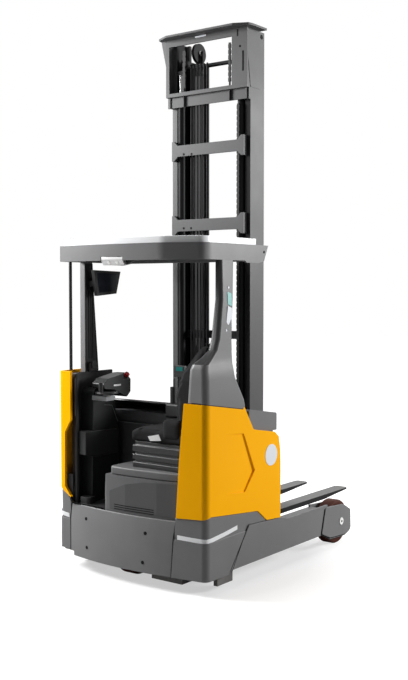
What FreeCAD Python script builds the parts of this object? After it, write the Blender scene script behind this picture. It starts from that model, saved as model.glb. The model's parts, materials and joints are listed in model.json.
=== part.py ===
"""Reach truck: sit-down cross-seat warehouse truck with a moving triple mast.

Millimetres. The truck is drawn from its rear face (x = 0) forward to the fork tips, y to the
left and z up from the floor. Each sub-part's Placement then moves it back by half the overall
length, so that the origin lies on the floor in the middle of the whole truck's box.
"""
import FreeCAD, Part
import math
import os
import Sketcher
from FreeCAD import Placement, Rotation, Vector

doc = FreeCAD.newDocument("reach_truck")
sheet = doc.addObject("Spreadsheet::Sheet", "Dims")


class Size:
    """A length with its number and the spreadsheet expression that drives it."""

    def __init__(self, number, text):
        self.number = number
        self.text = text

    def __add__(self, other):
        other = as_size(other)
        return Size(self.number + other.number, f"({self.text} + {other.text})")

    def __sub__(self, other):
        other = as_size(other)
        return Size(self.number - other.number, f"({self.text} - {other.text})")

    def __mul__(self, factor):
        factor = as_size(factor)
        return Size(self.number * factor.number, f"({self.text} * {factor.text})")

    def __truediv__(self, factor):
        factor = as_size(factor)
        return Size(self.number / factor.number, f"({self.text} / {factor.text})")

    def __neg__(self):
        return Size(-self.number, f"(0 - {self.text})")

    def __radd__(self, other):
        return as_size(other) + self

    def __rsub__(self, other):
        return as_size(other) - self

    def __rmul__(self, factor):
        return as_size(factor) * self


def as_size(value):
    """A plain number as a Size."""
    return value if isinstance(value, Size) else Size(float(value), repr(float(value)))


def size(name, number):
    """Write one driving dimension to the next row of the sheet, under its alias."""
    row = len(sizes) + 1
    sheet.set(f"A{row}", name)
    sheet.set(f"B{row}", str(number))
    sheet.setAlias(f"B{row}", name)
    sizes[name] = Size(float(number), f"Dims.{name}")
    return sizes[name]


sizes = {}
nodes = []


def bind(thing, prop, value):
    """Drive one property of an object from a Size."""
    thing.setExpression(prop, as_size(value).text)


def place(thing, x, y, z, turn=None):
    """Put an object at x, y, z of the truck, moved back by half the overall length."""
    spots = (as_size(x) - half_length, as_size(y), as_size(z))
    thing.Placement = Placement(Vector(*(s.number for s in spots)), turn or Rotation())
    for letter, spot in zip("xyz", spots):
        bind(thing, f"Placement.Base.{letter}", spot)


def block(name, x, y, z):
    """A box between two values along each axis."""
    box = doc.addObject("Part::Box", name)
    for prop, (low, high) in (("Length", x), ("Width", y), ("Height", z)):
        bind(box, prop, as_size(high) - low)
    place(box, x[0], y[0], z[0])
    return box


def rod(name, axis, start, radius, length):
    """A round bar from start along an axis, such as "X", "Y" or "Z"."""
    bar = doc.addObject("Part::Cylinder", name)
    bind(bar, "Radius", radius)
    bind(bar, "Height", length)
    direction = {"X": Vector(1, 0, 0), "Y": Vector(0, 1, 0), "Z": Vector(0, 0, 1)}[axis]
    place(bar, *start, turn=Rotation(Vector(0, 0, 1), direction))
    return bar


def tube(name, axis, start, radius, wall, length):
    """A round tube from start along an axis."""
    outer = rod(name + "_outer", axis, start, radius, length)
    bore = rod(name + "_bore", axis, start, as_size(radius) - wall, length)
    return cut(name, outer, bore)


def outline_sketch(body, name, plane, offset, points):
    """A closed outline of bound corner points on one of the body's origin planes."""
    sketch = body.newObject("Sketcher::SketchObject", name)
    role = plane + "_Plane"
    base = [f for f in body.Origin.OriginFeatures if f.Role == role][0]
    sketch.AttachmentSupport = [(base, "")]
    sketch.MapMode = "FlatFace"
    sketch.AttachmentOffset = Placement(Vector(0, 0, as_size(offset).number), Rotation())
    bind(sketch, "AttachmentOffset.Base.z", offset)
    corners = [(as_size(u), as_size(v)) for u, v in points]
    spots = [Vector(u.number, v.number, 0) for u, v in corners]
    count = len(spots)
    for i in range(count):
        sketch.addGeometry(Part.LineSegment(spots[i], spots[(i + 1) % count]), False)
    for i in range(count):
        sketch.addConstraint(Sketcher.Constraint("Coincident", i, 2, (i + 1) % count, 1))
    for i, (u, v) in enumerate(corners):
        for kind, value in (("DistanceX", u), ("DistanceY", v)):
            index = sketch.addConstraint(Sketcher.Constraint(kind, -1, 1, i, 1, value.number))
            bind(sketch, f"Constraints[{index}]", value)
    return sketch


def profile(name, plane, points, start, end, rounds=None):
    """A Body padded from start to end across a plane; rounds gives corner numbers a radius."""
    body = doc.addObject("PartDesign::Body", name)
    offset = -as_size(end) if plane == "XZ" else as_size(start)
    sketch = outline_sketch(body, name + "_outline", plane, offset, points)
    pad = body.newObject("PartDesign::Pad", name + "_pad")
    pad.Profile = sketch
    bind(pad, "Length", as_size(end) - start)
    sketch.Visibility = False
    if rounds:
        doc.recompute()
        round_corners(body, pad, name, plane, points, rounds)
    place(body, 0, 0, 0)
    return body


def round_corners(body, pad, name, plane, points, rounds):
    """Fillet the padded edges that stand on the listed corners of the outline."""
    pick = {"XY": ("x", "y"), "XZ": ("x", "z"), "YZ": ("y", "z")}[plane]
    feature = pad
    for order, (radius, corners) in enumerate(rounds):
        names = []
        for corner in corners:
            spot = [as_size(value).number for value in points[corner]]
            for number, edge in enumerate(feature.Shape.Edges, 1):
                ends = [vertex.Point for vertex in edge.Vertexes]
                near = [abs(getattr(end, letter) - value) < 0.01
                        for end in ends for letter, value in zip(pick, spot)]
                if len(ends) == 2 and all(near):
                    names.append(f"Edge{number}")
        fillet = body.newObject("PartDesign::Fillet", f"{name}_round{order}")
        fillet.Base = (feature, names)
        fillet.Radius = as_size(radius).number
        bind(fillet, "Radius", radius)
        doc.recompute()
        feature = fillet


def turned(name, points, x, y, z):
    """A Body of revolution about its own y axis; each point is a radius and a place along y."""
    body = doc.addObject("PartDesign::Body", name)
    sketch = outline_sketch(body, name + "_outline", "XY", 0, points)
    spin = body.newObject("PartDesign::Revolution", name + "_spin")
    spin.Profile = sketch
    spin.ReferenceAxis = (sketch, ["V_Axis"])
    spin.Angle = 360
    sketch.Visibility = False
    place(body, x, y, z)
    return body


def cut(name, base, *tools):
    """The base with the tools taken away."""
    result = doc.addObject("Part::Cut", name)
    result.Base = base
    result.Tool = tools[0] if len(tools) == 1 else fuse(name + "_tools", *tools)
    return result


def common(name, base, tool):
    """What two solids share."""
    result = doc.addObject("Part::Common", name)
    result.Base = base
    result.Tool = tool
    return result


def fuse(name, *parts):
    """Several solids as one."""
    result = doc.addObject("Part::MultiFuse", name)
    result.Shapes = list(parts)
    result.Refine = True
    return result


def subpart(label, thing):
    """Name a finished sub-part and list it for writing."""
    thing.Label = label
    nodes.append(thing)
    return thing


def sides(make):
    """Run a maker for the left side (sign 1) and the right side (sign -1)."""
    for label, sign in (("left", 1), ("right", -1)):
        make(label, sign)


def span(low, high, sign):
    """A stretch of y between two distances from the middle, on one side, low value first."""
    return (low, high) if sign > 0 else (-as_size(high), -as_size(low))


# ---------------------------------------------------------------- driving dimensions
overall_length = size("overall_length", 2557)
half_length = overall_length / 2
body_width = size("body_width", 1270)
half_width = body_width / 2
skin = size("panel_thickness", 20)
gap = size("running_gap", 10)
seam = size("panel_seam", 3)
fit = size("bearing_clearance", 0.3)

# chassis
deck_top = size("deck_top", 430)
plate = size("frame_plate", 12)
mat = size("floor_mat_thickness", 16)
belly_bottom = size("belly_bottom", 100)
ground_gap = size("skid_ground_clearance", 32)
bulkhead_x = size("bulkhead_x", 530)
bulkhead_top = size("bulkhead_top", 960)
front_wall_x = size("front_wall_x", 905)
tray_top = size("battery_tray_top", 352)
cells_top = size("battery_top", 1040)
frame_half = half_width - size("frame_side_inset", 35)
rear_arc = size("rear_arc_radius", 2300)
corner_round = size("corner_radius", 45)
corner_x = size("rear_corner_x", 65)
skirt_top = size("skirt_top", 450)
skirt_bottom = size("skirt_bottom", 95)
skirt_crease = size("skirt_crease_height", 338)
skirt_wall = size("bumper_wall", 30)
bumper_left = half_width - size("bumper_left_inset", 120)
bumper_right = half_width - size("bumper_right_inset", 231)
left_top = size("left_panel_top", 1345)

# drive wheel and unit
steer_x = size("steer_axis_x", 245)
steer_y = size("steer_axis_y", 85)
drive_radius = size("drive_wheel_radius", 171)
drive_width = size("drive_wheel_width", 114)
drive_hub = size("drive_hub_radius", 110)

# load arms and wheels
arm_inner = half_width - size("arm_box_width", 165)
arm_bottom = size("arm_bottom", 115)
arm_top = size("arm_top", 326)
rail_top = arm_top - size("arm_flange_drop", 36)
arm_wall = size("arm_web_thickness", 16)
arm_flange = size("arm_flange_thickness", 20)
channel_end = size("channel_end_x", 1545)
load_radius = size("load_wheel_radius", 163)
load_x = channel_end + plate + load_radius + size("load_wheel_clearance", 18)
load_y = half_width - size("load_wheel_inset", 78)
load_width = size("load_wheel_width", 104)
load_hub = size("load_hub_radius", 105)
load_axle = size("load_axle_radius", 25)

# mast
mast_rear = front_wall_x + size("mast_behind_gap", 55)
rail_depth = size("rail_depth", 171)
rail_width = size("rail_width", 45)
rail_web = size("rail_web", 18)
rail_flange = size("rail_flange", 25)
outer_half = size("outer_mast_half_width", 343)
stage_step = size("stage_step_forward", 35)
mast_bottom = size("mast_bottom", 112)
mast_top = size("mast_top", 3700)
head_plate = size("head_plate_thickness", 14)
crossbar_plate = size("crossbar_thickness", 15)

# forks
rail_front = mast_rear + stage_step * 2 + rail_depth
carriage_front = rail_front + size("carriage_reach", 89)
tilt_x = carriage_front + 37
fork_face = tilt_x + 80
fork_y = size("fork_centre_y", 191)
fork_width = size("fork_width", 120)
fork_thick = size("fork_thickness", 38)
fork_top = size("fork_top", 250)
tilt_z = fork_top + 50

# overhead guard
guard_top = size("guard_top", 2190)
guard_rim = size("guard_rim", 105)
guard_half = half_width - size("guard_side_inset", 45)
guard_front = size("guard_front_x", 745)
guard_arc = size("guard_arc_radius", 3600)

# cabin
hood_top = size("hood_top", 690)
lid_top = size("hood_lid_top", 745)
cushion_low = size("cushion_bottom", 915)
seat_side = -half_width + size("seat_side_inset", 205)
console_side = half_width - size("console_side_inset", 97)
hub_x = size("steering_hub_x", 215)
hub_z = size("steering_hub_z", 1198)


# ---------------------------------------------------------------- chassis
def rear_x(y, radius):
    """How far forward of the rearmost point an arc of a radius lies at y, as a number."""
    return radius.number - math.sqrt(radius.number ** 2 - y ** 2)


def chassis_frame():
    post_front = bulkhead_x + 110
    belly = profile("belly", "XY", [(130, 120 - frame_half), (215, -frame_half),
                                    (post_front, -frame_half), (post_front, frame_half),
                                    (215, frame_half), (130, frame_half - 120)],
                    belly_bottom, belly_bottom + plate)
    reach = bumper_right.number - 10
    deck_outline = [(rear_x(y, rear_arc - skirt_wall) + skirt_wall + fit, y)
                    for y in (-reach, -reach / 2, 0, reach / 2, reach)]
    deck_outline += [(200, frame_half - 20), (bulkhead_x, frame_half - 20),
                     (bulkhead_x, 20 - frame_half), (200, 20 - frame_half)]
    deck = profile("deck", "XY", deck_outline, deck_top - plate, deck_top)
    behind = (bulkhead_x - plate, bulkhead_x)
    cross = block("cross_wall", behind, (-frame_half, frame_half), (belly_bottom + plate, tray_top))
    tray = block("battery_tray", (bulkhead_x - plate, front_wall_x),
                 (-half_width + skin, half_width - skin), (tray_top - plate, tray_top))
    bulkhead = block("bulkhead", behind, (-frame_half, frame_half), (tray_top, bulkhead_top))
    front = block("front_wall", (front_wall_x - plate, front_wall_x), (-frame_half, frame_half),
                  (tray_top, bulkhead_top - 35))
    walls = [block(f"side_wall{sign}", (215, bulkhead_x), span(frame_half - plate, frame_half, sign),
                   (belly_bottom + plate, deck_top)) for sign in (1, -1)]
    stub = [block(f"front_post{sign}", (bulkhead_x + 30, post_front),
                  span(frame_half - plate, half_width - arm_wall, sign),
                  (belly_bottom + plate, tray_top - plate)) for sign in (1, -1)]
    stub += [block(f"skirt_pad{sign}", (300, 340), span(frame_half, half_width - skin - fit, sign),
                   (240, 290)) for sign in (1, -1)]
    skid = block("skid_block", (120, 300), (-400, -150), (ground_gap, belly_bottom))
    shoes = [block(f"side_shoe{sign}", (225, 390), span(frame_half - 30, frame_half, sign),
                   (ground_gap, belly_bottom)) for sign in (1, -1)]
    shell = fuse("frame_shell", belly, deck, cross, tray, bulkhead, front, skid,
                 *walls, *stub, *shoes)
    swing = rod("wheel_swing", "Z", (steer_x, steer_y, belly_bottom - 5), drive_radius + 29, 100)
    neck = rod("turntable_hole", "Z", (steer_x, steer_y, deck_top - plate - 5), 70, 30)
    subpart("chassis_frame", cut("frame", shell, swing, neck))


def load_arm(label, sign):
    """Channel arm with the cheeks that hold a load wheel at its front."""
    outer = half_width
    start = bulkhead_x + 115
    web_points = [(bulkhead_x - 208, arm_bottom), (bulkhead_x, arm_top + 44),
                  (front_wall_x + 15, arm_top + 22), (front_wall_x + 95, arm_top),
                  (channel_end, arm_top), (channel_end, arm_bottom)]
    web = profile(f"arm_web_{label}", "XZ", web_points, *span(outer - arm_wall, outer, sign))
    top = block(f"arm_top_{label}", (start, channel_end),
                span(arm_inner, outer - arm_wall, sign), (rail_top - arm_flange, rail_top))
    low = block(f"arm_low_{label}", (start, channel_end),
                span(arm_inner, outer - arm_wall, sign), (arm_bottom, arm_bottom + arm_flange))
    cap = block(f"arm_cap_{label}", (channel_end, channel_end + plate),
                span(arm_inner, outer, sign), (arm_bottom, rail_top))
    cheek_points = [(channel_end, arm_top - 19), (load_x + 37, load_radius + 128),
                    (load_x + 147, load_radius + 67), (load_x + 157, load_radius - 84),
                    (load_x + 71, load_radius - 113), (load_x - 156, load_radius - 100),
                    (channel_end, arm_bottom - 20)]
    rounds = [(30, [1, 2, 3]), (40, [4])]
    cheeks = [profile(f"cheek_{place_name}_{label}", "XZ", cheek_points, *span(low_y, high_y, sign),
                      rounds=rounds)
              for place_name, low_y, high_y in (("outer", outer - arm_wall, outer),
                                                ("inner", arm_inner, arm_inner + arm_wall))]
    arm = fuse(f"arm_{label}", web, top, low, cap, *cheeks)
    bore_y = span(arm_inner - 5, outer + 5, sign)
    bore = rod(f"axle_bore_{label}", "Y", (load_x, bore_y[0], load_radius), load_axle,
               as_size(bore_y[1]) - bore_y[0])
    subpart(f"load_arm_{label}", cut(f"arm_bored_{label}", arm, bore))


def load_wheel(label, sign):
    half = load_width / 2
    y = as_size(load_y) * sign
    tyre = turned(f"tyre_{label}", [(load_hub, -half), (load_radius - 8, -half),
                                    (load_radius, -half + 8), (load_radius, half - 8),
                                    (load_radius - 8, half), (load_hub, half)],
                  load_x, y, load_radius)
    subpart(f"load_tyre_{label}", tyre)
    bore = load_axle + fit
    hub = turned(f"hub_{label}", [(bore, -half), (60, -half), (60, -half + 12),
                                  (load_hub - 12, -half + 12), (load_hub - 12, -half),
                                  (load_hub, -half), (load_hub, half), (load_hub - 12, half),
                                  (load_hub - 12, half - 12), (60, half - 12), (60, half),
                                  (bore, half)], load_x, y, load_radius)
    subpart(f"load_hub_{label}", hub)


def load_axles():
    """One pin a side, flush in the inner cheek and with a round cap on the outer one."""
    pins = []
    for label, sign in (("left", 1), ("right", -1)):
        reach = span(arm_inner, half_width + 2, sign)
        pins.append(rod(f"pin_{label}", "Y", (load_x, reach[0], load_radius), load_axle,
                        as_size(reach[1]) - reach[0]))
    pair = doc.addObject("Part::Compound", "axle_pair")
    pair.Links = pins
    subpart("load_axles", pair)


chassis_frame()
sides(load_arm)
sides(load_wheel)
load_axles()


# ---------------------------------------------------------------- drive unit
def drive_unit():
    half = drive_width / 2
    tread = [(drive_hub, -half), (drive_radius - 6, -half), (drive_radius, -half + 6),
             (drive_radius, half - 6), (drive_radius - 6, half), (drive_hub, half)]
    subpart("drive_tyre", turned("tread", tread, steer_x, steer_y, drive_radius))
    disc = [(30 + fit, -half), (drive_hub, -half), (drive_hub, half), (30 + fit, half)]
    subpart("drive_hub", turned("disc", disc, steer_x, steer_y, drive_radius))
    # gearbox leg beside the wheel, axle stub through the hub, neck and turntable above
    leg_low = steer_y - half - 50
    leg_top = deck_top - plate - 18
    leg = profile("gear_leg", "XZ", [(steer_x - 70, 100), (steer_x + 70, 100),
                                     (steer_x + 85, leg_top), (steer_x - 85, leg_top)],
                  leg_low, leg_low + 42, rounds=[(50, [0, 1])])
    stub = rod("axle_stub", "Y", (steer_x, leg_low, drive_radius), 30, drive_width + 55)
    neck = rod("gear_neck", "Z", (steer_x, steer_y, deck_top - 70), 64, 80)
    table = rod("turntable", "Z", (steer_x, steer_y, deck_top + fit), 80, 25)
    subpart("drive_gearbox", fuse("gearbox", leg, stub, neck, table))
    motor = rod("motor_can", "Z", (steer_x, steer_y, deck_top + fit + 25), 80, 215)
    subpart("drive_motor", motor)


drive_unit()


# ---------------------------------------------------------------- lower skirt and side panels
seam_lean = 27


def bumper():
    """Curved centre of the skirt: upright below the crease and leaning forward above it."""
    low = tube("bumper_low", "Z", (rear_arc, 0, skirt_bottom), rear_arc, skirt_wall,
               skirt_crease - skirt_bottom)
    high = doc.addObject("Part::Cone", "bumper_high_outer")
    bind(high, "Radius1", rear_arc)
    bind(high, "Radius2", rear_arc - 14)
    bind(high, "Height", skirt_top - skirt_crease)
    place(high, rear_arc, 0, skirt_crease)
    bore = rod("bumper_high_bore", "Z", (rear_arc, 0, skirt_crease), rear_arc - skirt_wall,
               skirt_top - skirt_crease)
    ring = fuse("bumper_ring", low, cut("bumper_high", high, bore))
    window = profile("bumper_window", "YZ", [(bumper_left, skirt_top), (bumper_left, skirt_bottom + 28),
                                             (bumper_left - 34, skirt_bottom + 28),
                                             (bumper_left - 34, skirt_bottom),
                                             (-bumper_right + seam_lean, skirt_bottom),
                                             (-bumper_right, skirt_top)], -10, 200)
    subpart("bumper_centre", common("bumper_middle", ring, window))


def corner_plan(name, sign, start_y, front_x, inset, low, high):
    """A wall round the rear corner, drawn in plan from start_y to the side and forward."""
    outer = half_width - inset
    start_x = rear_x(start_y, rear_arc) + inset
    turn_x = corner_x + inset
    points = [(start_x, start_y), (turn_x, outer), (front_x, outer), (front_x, half_width - skin),
              (corner_x + skin, half_width - skin), (start_x + skin.number - inset, start_y)]
    points = [(x, as_size(y) * sign) for x, y in points]
    return profile(name, "XY", points, low, high,
                   rounds=[(corner_round, [1]), (corner_round - skin, [4])])


# the line where the skirt ends and the side panel starts, rear to front
split_line = {"right": [(-20, skirt_top + 2), (109, skirt_top + 44), (629, skirt_top - 9),
                        (737, skirt_top - 89)],
              "left": [(-20, skirt_top + 76), (95, skirt_top + 76), (190, skirt_top + 36),
                       (629, skirt_top - 9), (737, skirt_top - 89)]}
rear_wall = (-20, corner_x + skin)


def skirt_corner(label, sign):
    """Skirt corner with its upper band set in a little behind the crease."""
    start = {"left": bumper_left.number, "right": bumper_right.number - seam_lean}[label] + seam.number
    low = corner_plan(f"skirt_low_{label}", sign, start, 740, 0, 60, skirt_crease)
    high = corner_plan(f"skirt_high_{label}", sign, start, 740, 5, skirt_crease, skirt_top + 100)
    lift = {"left": skirt_bottom + 30, "right": skirt_bottom}[label]
    shape = [(-20, lift), (100, lift), (160, skirt_bottom), (300, skirt_bottom), (521, skirt_top - 77)]
    if label == "right":
        shape = shape[:1] + shape[3:]
    shape += list(reversed(split_line[label]))
    look = profile(f"skirt_look_{label}", "XZ", shape,
                   *span(bumper_right - 120, half_width + 65, sign))
    if label == "right":
        edge = -bumper_right - seam
        trims = [profile("skirt_seam_right", "YZ", [(edge + seam_lean, skirt_bottom - 5),
                                                    (edge, skirt_top), (edge, skirt_top + 80),
                                                    (edge + 80, skirt_top + 80),
                                                    (edge + 80, skirt_bottom - 5)], *rear_wall)]
    else:
        edge = bumper_left - seam
        trims = [profile("skirt_slope_left", "YZ", [(edge - 15, skirt_top + 3), (edge + 4, skirt_top + 3),
                                                    (edge + 28, skirt_top + 48),
                                                    (edge + 64, skirt_top + 69),
                                                    (edge + 135, skirt_top + 76),
                                                    (edge + 135, skirt_top + 110),
                                                    (edge - 15, skirt_top + 110)], *rear_wall),
                 profile("skirt_foot_left", "YZ", [(edge + 54, skirt_bottom - 5),
                                                   (edge + 54, skirt_bottom + 29),
                                                   (edge + 135, skirt_bottom + 75),
                                                   (edge + 135, skirt_bottom - 5)], *rear_wall)]
    corner = common(f"skirt_{label}", fuse(f"skirt_plan_{label}", low, high), look)
    subpart(f"skirt_corner_{label}", cut(f"skirt_trimmed_{label}", corner, *trims))


def side_panel(label, sign):
    """Yellow side panel with a facet pressed into it behind the battery."""
    start = {"left": bumper_left - 3, "right": bumper_right + 6}[label].number
    plan = corner_plan(f"panel_plan_{label}", sign, start, front_wall_x, 0, 330, 1400)
    rise = {"left": seam + 12, "right": seam}[label]
    low_edge = [(x, z + rise) for x, z in split_line[label]] + [(923, skirt_top - 100)]
    if label == "left":
        low_edge = [(-20, 485), (84, 485), (84, low_edge[1][1])] + low_edge[2:]
    front_edge = [(front_wall_x - 4, 812), (front_wall_x - 24, 910), (front_wall_x - 74, 946),
                  (bulkhead_x + 49, 989), (bulkhead_x - 60, 1150)]
    high_edge = {"right": [(453, 1133), (108, 1187), (-20, 1205)],
                 "left": [(430, left_top), (-20, left_top)]}[label]
    look = profile(f"panel_look_{label}", "XZ", low_edge + front_edge + high_edge,
                   *span(bumper_right - 120, half_width + 65, sign))
    panel = common(f"panel_{label}", plan, look)
    facet_points = [(0, 995), (233, 975), (362, 721), (247, 594), (0, 618)]
    facet = profile(f"panel_facet_{label}", "XZ", facet_points, *span(0, 60, sign))
    place(facet, 230, half_width * sign, 0, Rotation(Vector(0, 0, 1), -2.2 * sign))
    panel = cut(f"panel_pressed_{label}", panel, facet)
    if label == "right":
        edge = -bumper_right
        trims = [profile("panel_lean", "YZ", [(edge - 9, 300), (edge - 9, 455), (edge - 34, 840),
                                              (edge - 68, 1200), (edge - 68, 1400),
                                              (edge + 120, 1400), (edge + 120, 300)], *rear_wall)]
    else:
        edge = bumper_left
        trims = [profile("panel_step", "YZ", [(edge - 20, 1014), (edge - 1, 1014), (edge + 52, 928),
                                              (edge + 56, 560), (edge + 9, 503), (edge - 20, 490)],
                         *rear_wall),
                 profile("panel_slope", "YZ", [(edge - 20, 300), (edge - 20, 480), (edge + 6, 491),
                                               (edge + 137, 566), (edge + 137, 300)], *rear_wall)]
    subpart(f"side_panel_{label}", cut(f"panel_trimmed_{label}", panel, *trims))


bumper()
sides(skirt_corner)
sides(side_panel)


# ---------------------------------------------------------------- pillars and guard
def section(z, x0, x1, y0, y1, radius):
    """A rectangle with round corners at a height, as a wire in the truck's frame."""
    face = Part.makePlane(x1 - x0, y1 - y0, Vector(x0, y0, z))
    solid = face.extrude(Vector(0, 0, 1))
    upright = [e for e in solid.Edges if abs(e.Vertexes[0].Z - e.Vertexes[1].Z) > 0.5]
    soft = solid.makeFillet(radius, upright)
    return [f for f in soft.Faces if abs(f.CenterOfMass.z - z) < 0.001][0].OuterWire


def pillar_shell():
    """Moulded cover of the right rear pillar, hollow beside the backrest and narrow above."""
    side = half_width.number
    top = guard_top.number - guard_rim.number
    rear = corner_x.number - 3
    levels = [(1100, rear, 520, -side, 167 - side, 42), (1193, rear, 492, -side, 163 - side, 42),
              (1345, rear, 396, 3 - side, 151 - side, 42), (1405, rear + 2, 386, 10 - side, 146 - side, 40),
              (1437, rear + 16, 383, 17 - side, 137 - side, 38), (1476, 135, 380, 21 - side, 110 - side, 30),
              (1522, 188, 378, 23 - side, 90 - side, 26), (1590, 222, 380, 27 - side, 94 - side, 26),
              (1836, 266, 402, 35 - side, 94 - side, 24),
              (top, 272, 420, -guard_half.number, 52 - guard_half.number, 22)]
    wires = [section(*level) for level in levels]
    loft = doc.addObject("Part::Feature", "pillar_loft")
    loft.Shape = Part.makeLoft(wires, True, True)
    place(loft, 0, 0, 0)
    inner = profile("pillar_hollow", "XZ", [(105, 1000), (105, 1370), (150, 1440), (188, 1500),
                                            (195, 1515), (540, 1515), (540, 1000)],
                    -half_width + 24, -half_width + 335)
    below = profile("pillar_below", "XZ", [(0, 1000), (582, 1000), (474, 1155), (453, 1137),
                                           (108, 1191), (0, 1208)],
                    -half_width - 65, -half_width + 235)
    subpart("pillar_shell_right", cut("pillar_right", loft, inner, below))


def pillar_left():
    side = guard_half
    top = guard_top - guard_rim
    post = profile("post_left", "XZ", [(240, deck_top), (380, deck_top), (374, 1320), (332, 1840),
                                       (318, top), (240, top)], side - 45, side)
    subpart("pillar_left", post)
    rail = rod("post_rear_left", "Z", (147, guard_half, left_top), 11,
               guard_top - guard_rim - left_top)
    subpart("rear_post_left", rail)


def guard_plan(name, inset, front, low, high):
    """The guard's plan shape, drawn in by an inset: a curved rear edge and straight sides."""
    disc = rod(name + "_disc", "Z", (guard_arc, 0, low), guard_arc - inset, as_size(high) - low)
    half = guard_half - inset
    shoulder = guard_half - 305
    corner = [(-10 + 0.92 * inset, -shoulder + 0.4 * inset), (112 + 0.74 * inset, 24 + 0.82 * inset - guard_half),
              (190 + 0.15 * inset, -half)]
    slab = profile(name + "_slab", "XY", corner + [(front, -half), (front, half), (-10, half)],
                   low, high, rounds=[(60, [1])])
    return common(name, disc, slab)


def overhead_guard():
    low = guard_top - guard_rim
    rim = cut("guard_rim_wall", guard_plan("guard_out", 0, guard_front, low, guard_top),
              guard_plan("guard_in", 45, guard_front - 60, low - 5, guard_top + 5))
    bars = [block(f"guard_bar{i}", (x, x + 14), (-guard_half + 30, guard_half - 30),
                  (guard_top - 70, guard_top - 5)) for i, x in enumerate((160, 280, 400, 520, 640))]
    lug_points = [(guard_front - 205, low), (guard_front - 185, low - 13), (guard_front - 55, low - 13),
                  (guard_front + 16, low), (guard_front + 54, low + 82), (guard_front + 66, guard_top),
                  (guard_front - 20, guard_top)]
    lugs = [profile(f"guard_lug{sign}", "XZ", lug_points, *span(guard_half - 14, guard_half, sign))
            for sign in (1, -1)]
    eyes = rod("guard_eyes", "Y", (guard_front + 15, -guard_half - 5, low + 61), 10,
               guard_half * 2 + 10)
    seat_cut = block("lamp_seat", (-10, 60), (-12, 178), (low - 5, low + 25))
    subpart("overhead_guard", cut("guard_eyed", fuse("guard", rim, *bars, *lugs), eyes, seat_cut))
    panel = cut("roof_shell", guard_plan("roof_out", 20, guard_front - 50, guard_top, guard_top + 42),
                guard_plan("roof_in", 26, guard_front - 56, guard_top - 5, guard_top + 36))
    subpart("roof_panel", panel)


pillar_shell()
pillar_left()
overhead_guard()


# ---------------------------------------------------------------- battery
def battery():
    cells = (bulkhead_x + 15, front_wall_x - plate - 10)
    subpart("battery_block", block("battery_cells", cells, (15 - frame_half, frame_half - 15),
                                   (tray_top, cells_top)))
    side = half_width - skin - seam
    hood = profile("cover_out", "XZ", [(bulkhead_x + 22, cells_top - 88), (cells[1] + 5, cells_top - 88),
                                       (cells[1] + 5, cells_top + 28),
                                       (bulkhead_x + 30, cells_top + 80)],
                   -side, side, rounds=[(14, [2, 3])])
    hollow = profile("cover_in", "XZ", [(bulkhead_x, cells_top - 100), (cells[1], cells_top - 100),
                                        (cells[1], cells_top + 20), (bulkhead_x, cells_top + 70)],
                     8 - side, side - 8)
    subpart("battery_cover", cut("cover", hood, hollow))


battery()


# ---------------------------------------------------------------- cabin
def cabin():
    wall_x = bulkhead_x - plate
    edge = frame_half
    corner = rear_x(bumper_left.number, rear_arc)
    floor = profile("floor_mat", "XY", [(43, 208), (53, 300), (corner + 16, edge - 170),
                                        (corner + 42, edge - 130), (corner + 88, edge - 62),
                                        (wall_x, edge - 62), (wall_x, 208)],
                    deck_top, deck_top + mat)
    pedal_y = (console_side - 153, console_side - 63)
    pedal = profile("pedal_bump", "XY", [(98, pedal_y[0]), (174, pedal_y[0]), (174, pedal_y[1]),
                                         (98, pedal_y[1])],
                    deck_top + mat, deck_top + mat + 45, rounds=[(25, [0, 1, 2, 3])])
    subpart("cabin_floor", fuse("floor", floor, pedal))
    liner = profile("liner_side", "XY", [(corner + 32, edge - 108), (corner + 64, edge - 40),
                                         (wall_x, edge - 40), (wall_x, edge - 60),
                                         (corner + 79, edge - 60), (corner + 54, edge - 115)],
                    deck_top + mat, left_top - 15)
    notch = block("liner_notch", (238, 392), (guard_half - 47, guard_half + 2),
                  (deck_top, left_top + 55))
    subpart("cabin_liner_left", cut("liner", liner, notch))


def drive_hood():
    """Hood over the drive motor, curved at the rear like the bumper, with its seat lid."""
    side = 60 - half_width
    wall_x = bulkhead_x - plate - 2
    hood_plan = [(40, 202), (33, 0), (48, -250), (72, side + 155), (110, side + 75), (110, side),
                 (wall_x, side), (wall_x, 202)]
    shell = profile("hood_out", "XY", hood_plan, deck_top, hood_top, rounds=[(40, [0])])
    lean = profile("hood_lean", "YZ", [(202, deck_top), (240, deck_top), (240, hood_top + 5),
                                       (176, hood_top + 5)], 0, wall_x + 10)
    inner_plan = [(52, 170), (45, 0), (60, -250), (84, side + 159), (122, side + 80),
                  (122, side + 12), (wall_x - 11, side + 12), (wall_x - 11, 170)]
    hollow = profile("hood_in", "XY", inner_plan, deck_top - 5, hood_top - 8)
    subpart("drive_hood", cut("hood", shell, hollow, lean))
    lid = profile("hood_top", "XY", [(46, 152), (40, 0), (55, -250), (80, side + 159),
                                     (118, side + 80), (118, side + 5), (500, side + 5),
                                     (500, 152)], hood_top, lid_top, rounds=[(40, [0])])
    subpart("hood_lid", lid)


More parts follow.
